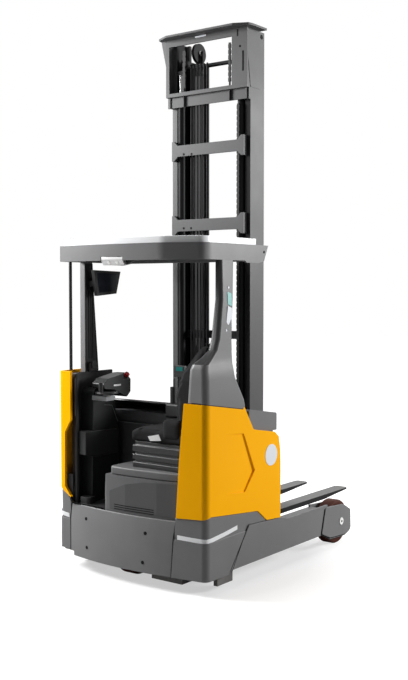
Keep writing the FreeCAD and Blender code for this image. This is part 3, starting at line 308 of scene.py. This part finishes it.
def merged(node):
    """A copy of a solid with its triangles joined into whole faces."""
    shape = bmesh.new()
    shape.from_mesh(frame["nodes"][node].data)
    bmesh.ops.remove_doubles(shape, verts=shape.verts, dist=0.00005)
    bmesh.ops.dissolve_limit(shape, angle_limit=math.radians(0.8), verts=shape.verts,
                             edges=shape.edges)
    return shape


def softened(node, width, finish, segments=2):
    """A copy of a solid with its sharp edges rounded, shown in the solid's stead."""
    shape = eased(merged(node), width, segments, fold=25)
    for layer in list(shape.loops.layers.float_vector.values()):
        shape.loops.layers.float_vector.remove(layer)
    piece = settle(node + "_finished", shape, frame["nodes"][node]["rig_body"], finish)
    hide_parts(node)
    return piece


graphite = coated("graphite_coat", (0.155, 0.155, 0.158), gloss=0.40, relief=0.00025, dust=0.06,
                  shine=0.2)
for side in ("left", "right"):
    softened(f"load_arm_{side}", 0.004, graphite)
dress("load_axles", coated("axle_steel", (0.55, 0.55, 0.55), gloss=0.3, metal=1.0, dust=0.1))

arm_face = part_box("load_arm_left")[1].y
seam_depth, plate_depth = 0.002, 0.005
axle_x, axle_z = rear + 1.737, 0.171
wheel_outline = [(1.509, 0.308), (1.774, 0.292), (1.880, 0.237), (1.885, 0.096), (1.800, 0.063),
                 (1.574, 0.078), (1.457, 0.127)]
cap_white = coated("cap_white", (0.85, 0.85, 0.83), gloss=0.35, relief=0.0001, dust=0.0)
black_gap = coated("black_gap", (0.006, 0.006, 0.006), gloss=0.7, dust=0.0, shine=0.1)


def plate(points, thickness):
    """A flat plate: its corners joined in one face, drawn out along a vector."""
    shape = bmesh.new()
    face = shape.faces.new([shape.verts.new(point) for point in points])
    grown = bmesh.ops.extrude_face_region(shape, geom=[face])
    moved = [item for item in grown["geom"] if isinstance(item, bmesh.types.BMVert)]
    bmesh.ops.translate(shape, verts=moved, vec=thickness)
    bmesh.ops.recalc_face_normals(shape, faces=shape.faces)
    return shape


def disc(centre, axis, radius, depth, segments=32, tip=None):
    """A short round piece about an axis, such as a cap, or a screw head with a narrower tip."""
    shape = bmesh.new()
    turn = Vector(axis).to_track_quat("Z", "Y").to_matrix().to_4x4()
    bmesh.ops.create_cone(shape, cap_ends=True, segments=segments, radius1=radius,
                          radius2=tip or radius, depth=depth,
                          matrix=Matrix.Translation(centre) @ turn)
    return shape


for side, sign in (("left", 1), ("right", -1)):
    seam = plate([(rear + x - 0.011, arm_face * sign, z - 0.007) for x, z in wheel_outline],
                 (0, seam_depth * sign, 0))
    settle(f"wheel_seam_{side}", seam, "chassis", black_gap)
    shape = plate([(rear + x, (arm_face + seam_depth) * sign, z) for x, z in wheel_outline],
                  (0, plate_depth * sign, 0))
    uprights = [edge for edge in shape.edges
                if abs(edge.verts[0].co.y - edge.verts[1].co.y) > plate_depth / 2]
    bmesh.ops.bevel(shape, geom=uprights, offset=0.010, segments=3, profile=0.5, affect="EDGES",
                    material=-1)
    settle(f"wheel_plate_{side}", eased(shape, 0.0012, fold=60), "chassis",
           graphite)
    centre = Vector((axle_x, (arm_face + 0.009) * sign, axle_z))
    shape = eased(disc(centre, (0, sign, 0), 0.027, 0.006, segments=40), 0.0015)
    settle(f"axle_cap_{side}", shape, "chassis", cap_white)
    shape = disc(centre + Vector((0, 0.004 * sign, 0)), (0, sign, 0), 0.008, 0.003, segments=6)
    settle(f"axle_screw_{side}", shape, "chassis", black_gap)

# ---------------------------------------------------------------- load wheels and drive wheel
# Cast polyurethane tyres, reddish brown and slightly waxy, each turned from one profile and
# pressed on a steel hub. The drive unit stands over its own wheel under the hood.
urethane = coated("brown_urethane", (0.062, 0.016, 0.009), gloss=0.42, grain=260, relief=0.0004,
                  change=0.35, dust=0.02, shine=0.08)
hub_steel = coated("hub_steel", (0.42, 0.42, 0.43), gloss=0.35, metal=1.0, dust=0.4)
for node, bore in (("load_tyre_left", 0.105), ("load_tyre_right", 0.105), ("drive_tyre", 0.110)):
    low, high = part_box(node)
    centre, radius, half = (low + high) / 2, (high.z - low.z) / 2, (high.y - low.y) / 2
    shape = bmesh.new()
    near = ((bore, 0.003), (radius - 0.020, 0), (radius - 0.006, 0.005), (radius, 0.016))
    profile = ([(reach, inset - half) for reach, inset in near]
               + [(reach, half - inset) for reach, inset in reversed(near)])
    ring = [shape.verts.new(centre + Vector((0, y, reach))) for reach, y in profile]
    rim = [shape.edges.new(pair) for pair in zip(ring, ring[1:] + ring[:1])]
    bmesh.ops.spin(shape, geom=ring + rim, cent=centre, axis=(0, 1, 0), angle=math.tau,
                   steps=96, use_merge=True)
    bmesh.ops.remove_doubles(shape, verts=shape.verts, dist=0.00005)
    bmesh.ops.recalc_face_normals(shape, faces=shape.faces)
    turned = settle(node + "_turned", shape, frame["nodes"][node]["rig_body"],
                    urethane)
    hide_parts(node)
for node in ("load_hub_left", "load_hub_right", "drive_hub"):
    dress(node, hub_steel)
dress("drive_gearbox", frame_black)
dress("drive_motor", frame_black)

# ---------------------------------------------------------------- bumper and skirts
# Thick painted steel skirts: a curved centre with four sunk screws, and a corner each side with
# a white reflecting strip laid over its crease.
for node in ("bumper_centre", "skirt_corner_left", "skirt_corner_right"):
    softened(node, 0.0045, graphite, segments=3)


def bar(low, high):
    """A straight bar between two corners."""
    shape = bmesh.new()
    low, high = Vector(low), Vector(high)
    size = Matrix.Diagonal((high - low).to_4d())
    size[3][3] = 1
    bmesh.ops.create_cube(shape, size=1, matrix=Matrix.Translation((low + high) / 2) @ size)
    return shape


def joined(shapes):
    """Several new pieces in one bmesh."""
    whole = shapes[0]
    for other in shapes[1:]:
        mesh = bpy.data.meshes.new("part")
        other.to_mesh(mesh)
        other.free()
        whole.from_mesh(mesh)
        bpy.data.meshes.remove(mesh)
    return whole


def line_strip(points, half, outward):
    """Flat dark strips along a line, a little proud of the surface it lies on."""
    across = Vector((0, half, 0)) if outward.x else Vector((half, 0, 0))
    return joined([plate([a - across, a + across, b + across, b - across], outward)
                   for a, b in zip(points, points[1:])])


seam_half, seam_raise, skirt_face = 0.003, 0.0015, 0.6345
seams = [[(0.0350, -0.3775, 0.097), (0.0350, -0.3960, 0.338), (0.0490, -0.4050, 0.449)],
         [(0.0590, 0.5165, 0.124), (0.0590, 0.5165, 0.338), (0.0730, 0.5165, 0.449)]]
lines = [line_strip([Vector((rear + x, y, z)) for x, y, z in seam], seam_half,
                    Vector((-seam_raise, 0, 0))) for seam in seams]
lines += [line_strip([Vector((rear + x, sign * skirt_face, z)) for x, z in
                      ((0.332, 0.102), (0.514, 0.372), (0.540, 0.3765))], seam_half,
                     Vector((0, sign * 0.0012, 0))) for sign in (1, -1)]
settle("skirt_seams", joined(lines), "chassis", black_gap)

skirt_arc, skirt_crease, rise_per_lean = 2.300, 0.338, 8
for i, (y, z) in enumerate(((0.345, 0.367), (0.335, 0.176), (-0.188, 0.352), (-0.168, 0.162))):
    lean = max(0, z - skirt_crease) / rise_per_lean
    x = rear + skirt_arc - math.sqrt(skirt_arc ** 2 - y ** 2) + lean
    outward = Vector((-skirt_arc, y, 0)).normalized()
    head = disc((x, y, z), outward, 0.0125, 0.004, tip=0.011)
    settle(f"skirt_screw_{i}", eased(head, 0.0008), "chassis", black_gap)


def strip(points, height, thickness):
    """A band laid round a corner: points along its lower edge, drawn up and thickened."""
    shape = bmesh.new()
    corners = [shape.verts.new(point) for point in points]
    edges = [shape.edges.new(pair) for pair in zip(corners, corners[1:])]
    grown = bmesh.ops.extrude_edge_only(shape, edges=edges)
    moved = [item for item in grown["geom"] if isinstance(item, bmesh.types.BMVert)]
    bmesh.ops.translate(shape, verts=moved, vec=(0, 0, height))
    bmesh.ops.recalc_face_normals(shape, faces=shape.faces)
    bmesh.ops.solidify(shape, geom=shape.faces, thickness=thickness)
    bmesh.ops.recalc_face_normals(shape, faces=shape.faces)
    return shape


reflector = coated("reflector_white", (0.78, 0.79, 0.80), gloss=0.3, relief=0.0001, dust=0.05,
                   change=0.03)
band_height, band_thickness = 0.027, 0.002
band = [(0.039, -0.424, 0.342), (0.047, -0.500, 0.340), (0.0625, -0.596, 0.336),
        (0.067, -0.612, 0.335), (0.078, -0.624, 0.335), (0.096, -0.6305, 0.336),
        (0.120, -0.6315, 0.337), (0.260, -0.6315, 0.349), (0.398, -0.6315, 0.366)]
settle("reflector_right", strip([(rear + x, y, z) for x, y, z in band], band_height,
                                band_thickness), "chassis", reflector)
band = [(0.062, 0.532, 0.346), (0.0625, 0.580, 0.352), (0.064, 0.606, 0.357),
        (0.074, 0.622, 0.360), (0.092, 0.6305, 0.364), (0.120, 0.6315, 0.366),
        (0.398, 0.6315, 0.372)]
settle("reflector_left", strip([(rear + x, y, z) for x, y, z in band], band_height + 0.001,
                               band_thickness), "chassis", reflector)
rib_count, rib_pitch, rib_bow, rib_depth, rib_width = 19, 0.0155, 0.012, 0.0205, 0.008
ribs = []
for i in range(rib_count):
    x, y = rear + 0.0455 + rib_bow * (i / (rib_count - 1)) ** 2, 0.214 + i * rib_pitch
    ribs.append(bar((x, y, 0.446), (x + rib_depth, y + rib_width, 0.454)))
settle("deck_ribs", eased(joined(ribs), 0.0015), "chassis", black_gap)

# ---------------------------------------------------------------- side panels
# Bent steel panels in yellow gloss paint close both flanks, each with a facet pressed behind
# the battery. A round white badge without print is fixed flat on the right one.
yellow = coated("yellow_paint_gloss", (0.98, 0.44, 0.0), gloss=0.35, grain=400, relief=0.0001,
                change=0.04, dust=0.0, shine=0.05)
for side in ("left", "right"):
    softened(f"side_panel_{side}", 0.006, yellow, segments=4)
emblem_white = coated("emblem_white", (0.70, 0.73, 0.77), gloss=0.35, relief=0.0001, change=0.03,
                      dust=0.0)
panel_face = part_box("side_panel_right")[0].y
badge_radius, badge_depth = 0.072, 0.003
badge = disc((rear + 0.785, panel_face - 0.001, 0.796), (0, -1, 0), badge_radius, badge_depth,
             segments=64)
settle("round_badge", eased(badge, 0.001), "chassis", emblem_white)

# ---------------------------------------------------------------- pillars, guard and roof
# Moulded cover on the right pillar, with blank plates and studs, an aluminium post with a ribbed
# cover on the left, a steel rim guard over them and a pale sheet on top.
def recolour(piece, finish, chosen):
    """Give the faces that a test picks a second finish."""
    piece.data.materials.append(finish)
    for face in piece.data.polygons:
        if chosen(face.normal, face.center):
            face.material_index = 1


moulded_black_and_shade = coated("moulded_black_and_shade", (0.012, 0.012, 0.013), gloss=0.5, grain=1400,
                       relief=0.0003, dust=0.1, shine=0.35)
# above this height the shell's rear-facing faces are painted black as shade on its rounded rear
# corner
painted_shade_foot = 1.425
shell = softened("pillar_shell_right", 0.010, graphite, segments=4)
recolour(shell, moulded_black_and_shade, lambda normal, centre: centre.z > painted_shade_foot and normal.x < -0.12)
softened("overhead_guard", 0.004, graphite)
# the gasket closes the slit under the shell and leans with the panel's sloping top
gasket_slope = 0.157
gasket = bar((rear + 0.0615, -0.6345, 1.1865), (rear + 0.4600, -0.5200, 1.1960))
outer_corner = [edge for edge in gasket.edges
                if all(vert.co.x < rear + 0.07 and vert.co.y < -0.63 for vert in edge.verts)]
bmesh.ops.bevel(gasket, geom=outer_corner, offset=0.045, segments=6, profile=0.5, affect="EDGES",
                material=-1)
for vert in gasket.verts:
    vert.co.z -= gasket_slope * (vert.co.x - rear - 0.1)
settle("pillar_gasket", gasket, "chassis", black_gap)
post_grey = coated("post_grey", (0.19, 0.19, 0.195), gloss=0.4, dust=0.0)
softened("pillar_left", 0.003, post_grey)
dress("rear_post_left", moulded_black_and_shade)
post_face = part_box("pillar_left")[0].y
cover = plate([(rear + x, post_face, z)
               for x, z in ((0.246, 1.335), (0.371, 1.335), (0.329, 1.845), (0.316, 2.078),
                            (0.246, 2.078))], (0, -0.005, 0))
settle("post_cover", eased(cover, 0.0015), "chassis", moulded_black_and_shade)
grooves = joined([plate([(rear + x + shift, post_face - 0.005, z)
                         for x, z in ((0.270, 1.42), (0.274, 1.42), (0.274, 1.98), (0.270, 1.98))],
                        (0, -0.002, 0)) for shift in (0, 0.022, 0.040)])
settle("post_ribs", grooves, "chassis", black_gap)
clip = joined([bar((rear + 0.262, post_face - 0.030, 1.335),
                   (rear + 0.326, post_face - 0.004, 1.392)),
               bar((rear + 0.272, post_face - 0.040, 1.352),
                   (rear + 0.312, post_face - 0.028, 1.405))])
settle("post_clip", eased(clip, 0.003), "chassis", moulded_black_and_shade)
roof_sheet = coated("roof_sheet", (0.88, 0.89, 0.90), gloss=0.25, relief=0.0001, change=0.03,
                    dust=0.0)
softened("roof_panel", 0.010, roof_sheet, segments=4)
# the blank plates lie on the shell, which widens towards the rear and narrows towards the top
shell_turn, shell_lean = 0.05, 0.033
teal = coated("teal_print", (0.05, 0.33, 0.30), gloss=0.4, relief=0.0001, change=0.05, dust=0.0)
blank = plate([(rear + x, -0.6015 - (0.376 - x) * shell_turn, z)
               for x, z in ((0.328, 1.796), (0.376, 1.782), (0.376, 1.655), (0.334, 1.672),
                            (0.312, 1.695))], (0, -0.0015, 0))
settle("pillar_plate", eased(blank, 0.0005), "chassis", emblem_white)
tab = plate([(rear + x, -0.5988 - (1.88 - z) * shell_lean, z)
             for x, z in ((0.330, 1.886), (0.374, 1.874), (0.376, 1.792), (0.330, 1.806))],
            (0, -0.0015, 0))
settle("pillar_tab", eased(tab, 0.0005), "chassis", teal)
for i, (x, y, z) in enumerate(((0.345, -0.5982, 1.911), (0.308, -0.6075, 1.642))):
    stud = disc((rear + x, y, z), (0, -1, 0), 0.009, 0.003, tip=0.007)
    settle(f"pillar_stud_{i}", stud, "chassis", emblem_white)

# ---------------------------------------------------------------- battery
# The battery stands in a dark steel trough between cabin and mast, under a folded cover in the
# same graphite coat as the skirts.
trough = coated("battery_trough", (0.05, 0.05, 0.055), gloss=0.5)
dress("battery_block", trough)
softened("battery_cover", 0.006, graphite, segments=3)

# ---------------------------------------------------------------- cabin floor and left wall
# Black moulded floor tray, and a moulded liner inside the left panel that stands on the deck,
# with a small filler at its foot.
softened("cabin_floor", 0.004, moulded_black_and_shade)
softened("cabin_liner_left", 0.006, moulded_black_and_shade)
fill = bar((rear + 0.086, 0.520, 0.455), (rear + 0.100, 0.578, 0.640))
settle("liner_foot", eased(fill, 0.003), "chassis", moulded_black_and_shade)

# ---------------------------------------------------------------- hood
# Grey moulded hood with a separate lid over the drive unit. On its curved rear face a sunk
# facet is painted as shade, with darker flat sheets laid on, over three rows of narrow louvres.
hood_grey = coated("hood_grey", (0.095, 0.095, 0.098), gloss=0.5, grain=1200, relief=0.0004,
                   dust=0.05, shine=0.35)
softened("drive_hood", 0.012, hood_grey, segments=4)
softened("hood_lid", 0.012, hood_grey, segments=4)
hood_painted_shade = coated("hood_painted_shade", (0.062, 0.062, 0.064), gloss=0.55, grain=1200, relief=0.0004,
                    dust=0.05, shine=0.3)
hood_curve = [(0.142, 0.0385), (0.0, 0.0335), (-0.250, 0.0485), (-0.420, 0.0725)]


def hood_x(y):
    """Where the hood's rear face stands at a place across it."""
    for (y0, x0), (y1, x1) in zip(hood_curve, hood_curve[1:]):
        if y >= y1:
            return rear + x0 + (x1 - x0) * (y0 - y) / (y0 - y1)
    return rear + x1


facets = [[(0.140, 0.462), (0.140, 0.583), (0.0, 0.640), (0.0, 0.462)],
          [(0.0, 0.462), (0.0, 0.640), (-0.150, 0.668), (-0.250, 0.674), (-0.250, 0.462)],
          [(-0.250, 0.462), (-0.250, 0.674), (-0.410, 0.678), (-0.410, 0.462)]]
# the darker sheets are painted shade where the sunk facet turns from the light
panel = joined([plate([(hood_x(y) + 0.001, y, z) for y, z in facet], (-0.0025, 0, 0))
                for facet in facets])
settle("hood_facet_painted_shade", panel, "chassis", hood_painted_shade)
slit = 0.005
louvres = joined([plate([(hood_x(y) - 0.001, y, z + rise) for y, rise in
                         ((start, 0), (end, 0), (end, slit), (start, slit))], (-0.0015, 0, 0))
                  for z in (0.468, 0.482, 0.496) for start, end in ((0.098, 0.0), (0.0, -0.229))])
settle("hood_louvres", louvres, "chassis", black_gap)

# ---------------------------------------------------------------- seat
# Cloth seat turned to the left over a rubber bellows: cushion, side pad and back are stuffed, the
# hinge plate is bare metal, and the armrest at the front carries a lever and a small display.
bellows_rubber = coated("bellows_rubber", (0.014, 0.014, 0.015), gloss=0.3, dust=0.0, shine=0.5)
softened("seat_suspension", 0.005, bellows_rubber, segments=3)
seat_cloth = coated("seat_cloth_plain", (0.011, 0.011, 0.012), gloss=0.9, grain=700, relief=0.0006,
                    dust=0.0, shine=0.15)
skin_cell, filling_frames = 0.006, 20


def stuffed(name, shape, body, finish, most):
    """A closed shape made into an even skin and blown up, no point further than the most."""
    piece = settle(name, shape, body, finish, crease=180)
    piece.modifiers.clear()
    skin = piece.modifiers.new("even_skin", "REMESH")
    skin.mode = "VOXEL"
    skin.voxel_size = skin_cell
    skin.use_smooth_shade = True
    view = bpy.context.evaluated_depsgraph_get()
    piece.data = bpy.data.meshes.new_from_object(piece.evaluated_get(view))
    piece.modifiers.clear()
    rest = [vert.co.copy() for vert in piece.data.vertices]
    cloth = piece.modifiers.new("filling", "CLOTH")
    cloth.settings.use_pressure = True
    cloth.settings.uniform_pressure_force = 4
    cloth.settings.effector_weights.gravity = 0
    for moment in range(1, filling_frames + 1):
        scene.frame_set(moment)
    view = bpy.context.evaluated_depsgraph_get()
    blown = piece.evaluated_get(view).to_mesh()
    ends = [vert.co.copy() for vert in blown.vertices]
    piece.evaluated_get(view).to_mesh_clear()
    piece.modifiers.clear()
    for vert, start, end in zip(piece.data.vertices, rest, ends):
        move = end - start
        vert.co = start + move * min(1, most / max(move.length, 1e-9))
    scene.frame_set(1)
    finer = piece.modifiers.new("finer", "SUBSURF")
    finer.levels = finer.render_levels = 1
    return piece


def padding(node, width, inset):
    """A rounded and slightly smaller copy of a solid, to be stuffed."""
    shape = merged(node)
    low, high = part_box(node)
    middle = (low + high) / 2
    for vert in shape.verts:
        vert.co = Vector([m + (c - m) * (1 - 2 * inset / (h - l))
                          for c, m, l, h in zip(vert.co, middle, low, high)])
    return eased(shape, width, segments=4, fold=25)


inset, swell = 0.008, 0.009
for node, width in (("seat_cushion", 0.022), ("seat_back", 0.026)):
    piece = stuffed(node + "_soft", padding(node, width, inset), "chassis",
                    seat_cloth, swell)
    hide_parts(node)
pad = eased(bar((rear + 0.100, -0.398, 0.940), (rear + 0.170, -0.246, 1.076)), 0.032, segments=5)
stuffed("seat_side_pad", pad, "chassis", seat_cloth, 0.005)
silver = coated("brushed_silver", (0.62, 0.62, 0.62), gloss=0.35, grain=500, metal=0.6, dust=0.0)
hinge = plate([(rear + 0.088, y, z) for y, z in ((-0.146, 0.958), (-0.235, 0.978),
                                                 (-0.256, 0.939), (-0.165, 0.930))],
              (0.003, 0, 0))
settle("seat_hinge_plate", eased(hinge, 0.001), "chassis", silver)
softened("control_armrest", 0.01, moulded_black_and_shade, segments=3)
case = joined([bar((rear + 0.462, -0.150, 1.310), (rear + 0.492, -0.060, 1.388)),
               bar((rear + 0.474, -0.060, 1.232), (rear + 0.490, -0.044, 1.300))])
settle("lever_display", eased(case, 0.004), "chassis", moulded_black_and_shade)
screen_teal = coated("screen_teal", (0.01, 0.16, 0.15), gloss=0.2, relief=0.0001, dust=0.0)
screen = bar((rear + 0.460, -0.140, 1.352), (rear + 0.4625, -0.082, 1.380))
settle("lever_screen", eased(screen, 0.0008), "chassis", screen_teal)

# ---------------------------------------------------------------- console
# Moulded steering console with a raised pocket, pale strips of painted highlight along edges, a
# blank silver strip on its head, a red stop button, and a small wheel with a knob on a pale
# bracket.
console_grey = coated("console_grey", (0.010, 0.011, 0.011), gloss=0.45, grain=1200,
                      relief=0.0003, dust=0.0, shine=0.35)
softened("steering_console", 0.010, console_grey, segments=4)
head_face, tower_face = 0.330, 0.430
tag = bar((rear + 0.292, head_face - 0.002, 1.236), (rear + 0.366, head_face, 1.248))
settle("console_strip", eased(tag, 0.0008), "chassis", silver)
pocket_grey = coated("pocket_grey", (0.022, 0.023, 0.023), gloss=0.5, grain=1200,
                     relief=0.0003, dust=0.0, shine=0.35)
pocket = plate([(rear + x, 0.486, z) for x, z in ((0.112, 0.938), (0.223, 0.934), (0.436, 0.924),
                                                  (0.442, 0.755), (0.221, 0.750), (0.112, 0.776))],
               (0, -0.064, 0))
settle("console_pocket", eased(pocket, 0.008), "chassis", pocket_grey)
painted_edge_highlight = coated("painted_edge_highlight", (0.16, 0.165, 0.17), gloss=0.35, relief=0.0001, dust=0.0)
# pale strips painted as highlights along edges of the liner, the console and the tower
highlight_strips = joined([bar((rear + 0.0875, 0.4950, 1.040), (rear + 0.0900, 0.4985, 1.300)),
               bar((rear + 0.5140, 0.0100, 0.957), (rear + 0.5180, 0.4300, 0.9615)),
               plate([(rear + x, tower_face, z) for x, z in
                      ((0.305, 1.100), (0.385, 1.090), (0.440, 0.976), (0.444, 0.978),
                       (0.387, 1.094), (0.305, 1.1035))], (0, -0.0015, 0))])
settle("cabin_edge_highlights", highlight_strips, "chassis", painted_edge_highlight)
red_gloss = coated("red_button", (0.72, 0.012, 0.02), gloss=0.25, dust=0.0)
softened("stop_button", 0.004, red_gloss, segments=3)
bracket_grey = coated("bracket_grey", (0.32, 0.33, 0.34), gloss=0.45, dust=0.0)
softened("wheel_bracket", 0.006, bracket_grey, segments=3)
softened("steering_wheel", 0.003, moulded_black_and_shade, segments=3)

# ---------------------------------------------------------------- display and lamp
# A display on the left post with a dark glass, and a silver work lamp with two lenses between
# black arms under the guard's rear edge.
softened("display_monitor", 0.004, moulded_black_and_shade)
monitor_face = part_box("display_monitor")[0].y
dark_glass = coated("dark_glass", (0.018, 0.022, 0.030), gloss=0.12, relief=0.00005, change=0.03,
                    dust=0.0)
glass = plate([(rear + x, monitor_face, z) for x, z in ((0.281, 2.014), (0.502, 2.008),
                                                        (0.468, 1.890), (0.305, 1.876))],
              (0, -0.0015, 0))
settle("monitor_glass", eased(glass, 0.0006), "chassis", dark_glass)
softened("cabin_lamp", 0.004, silver)
lens_white = coated("lens_white", (0.95, 0.95, 0.93), gloss=0.1, relief=0.00005, change=0.02,
                    dust=0.0)
for i, y in enumerate((0.045, 0.115)):
    lens = disc((rear + 0.0145, y, 2.0715), (-0.865, 0, -0.502), 0.013, 0.005, tip=0.011)
    settle(f"lamp_lens_{i}", lens, "chassis", lens_white)
arm_x, arm_width = rear + 0.040, 0.022
arms = joined([plate([(arm_x, y, z) for y, z in outline], (arm_width, 0, 0)) for outline in
               ([(0.176, 2.064), (0.176, 2.085), (0.202, 2.085), (0.190, 2.075)],
                [(-0.010, 2.058), (-0.010, 2.085), (-0.074, 2.085), (-0.050, 2.072)])])
settle("lamp_arms", eased(arms, 0.001), "chassis", moulded_black_and_shade)

# ---------------------------------------------------------------- mast
# Steel columns with a welded head and two crossbars round black telescoping stages, leaf chains,
# hydraulic pipes and a hose pulley.
stage_black_and_shade = coated("stage_black_and_shade", (0.007, 0.007, 0.008), gloss=0.5, dust=0.03, shine=0.1)
dress("reach_carriage", stage_black_and_shade)
mast_grey = coated("mast_grey", (0.068, 0.068, 0.070), gloss=0.45, relief=0.00025, dust=0.05,
                   shine=0.25)
# the columns are grey on their outer sides and black within, and the right column's rear face is
# painted black as shade
for side, sign in (("left", 1), ("right", -1)):
    column = softened(f"mast_column_{side}", 0.002, mast_grey)
    recolour(column, stage_black_and_shade, lambda normal, centre: normal.y * sign < 0.5
             and (sign < 0 or normal.x > -0.5))
for node in ("mast_crossbars", "mast_head"):
    softened(node, 0.002, mast_grey)
for node in ("mast_middle", "mast_inner", "lift_cylinders", "free_lift_cylinder",
             "fork_carriage", "side_shifter", "tilt_frame", "hose_pulley"):
    dress(node, stage_black_and_shade)
dress("lift_chains", coated("chain_steel", (0.012, 0.012, 0.012), gloss=0.5, dust=0.0, shine=0.2))
dress("lift_rods", coated("rod_steel", (0.22, 0.22, 0.22), gloss=0.2, metal=1.0, dust=0.0))
mast_body = frame["nodes"]["mast_head"]["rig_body"]
bar_x, hole_radius, hole_depth = rear + 0.9147, 0.008, 0.002
for i, (y, z) in enumerate(((0.205, 2.868), (0.135, 2.865), (0.206, 2.339), (0.139, 2.338))):
    hole = disc((bar_x, y, z), (-1, 0, 0), hole_radius, hole_depth)
    settle(f"crossbar_hole_{i}", hole, mast_body, black_gap)
cheek_x = rear + 0.8995
slits = joined([bar((cheek_x, -0.281, 3.630), (cheek_x + 0.001, -0.269, 3.679)),
                bar((cheek_x, -0.329, 3.392), (cheek_x + 0.001, -0.314, 3.528)),
                disc((cheek_x, -0.295, 3.561), (-1, 0, 0), hole_radius, hole_depth)])
settle("cheek_slots", slits, mast_body, black_gap)
column_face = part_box("mast_column_right")[0].y
hole = disc((rear + 1.095, column_face, 3.652), (0, -1, 0), hole_radius * 2, hole_depth)
settle("column_hole", hole, mast_body, black_gap)
tag = bar((rear + 0.898, -0.006, 3.672), (rear + 0.900, 0.090, 3.683))
settle("beam_plate", eased(tag, 0.0006), mast_body, emblem_white)
pipe_x, pipe_middle, pipe_radius, pipe_length = rear + 0.950, 2.15, 0.0065, 2.70
pipes = joined([disc((pipe_x, y, pipe_middle), (0, 0, 1), pipe_radius, pipe_length, segments=16)
                for y in (0.020, 0.048, 0.078, 0.106, 0.134, 0.162)])
settle("mast_pipes", pipes, mast_body, stage_black_and_shade)
low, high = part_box("hose_pulley")
hub = (low + high) / 2
cap = disc((hub.x, low.y - 0.001, hub.z), (0, -1, 0), 0.017, 0.004)
settle("pulley_hub", eased(cap, 0.001), frame["nodes"]["hose_pulley"]["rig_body"],
       cap_white)

# ---------------------------------------------------------------- forks
# Forged steel forks that hang on the tilt frame. Their upward faces are grey over
# near-black sides.
fork_grey = coated("fork_grey", (0.10, 0.10, 0.10), gloss=0.5, dust=0.1, shine=0.25)
for side in ("left", "right"):
    fork = softened(f"fork_{side}", 0.003, fork_grey)
    recolour(fork, stage_black_and_shade, lambda normal, centre: normal.z < 0.6)
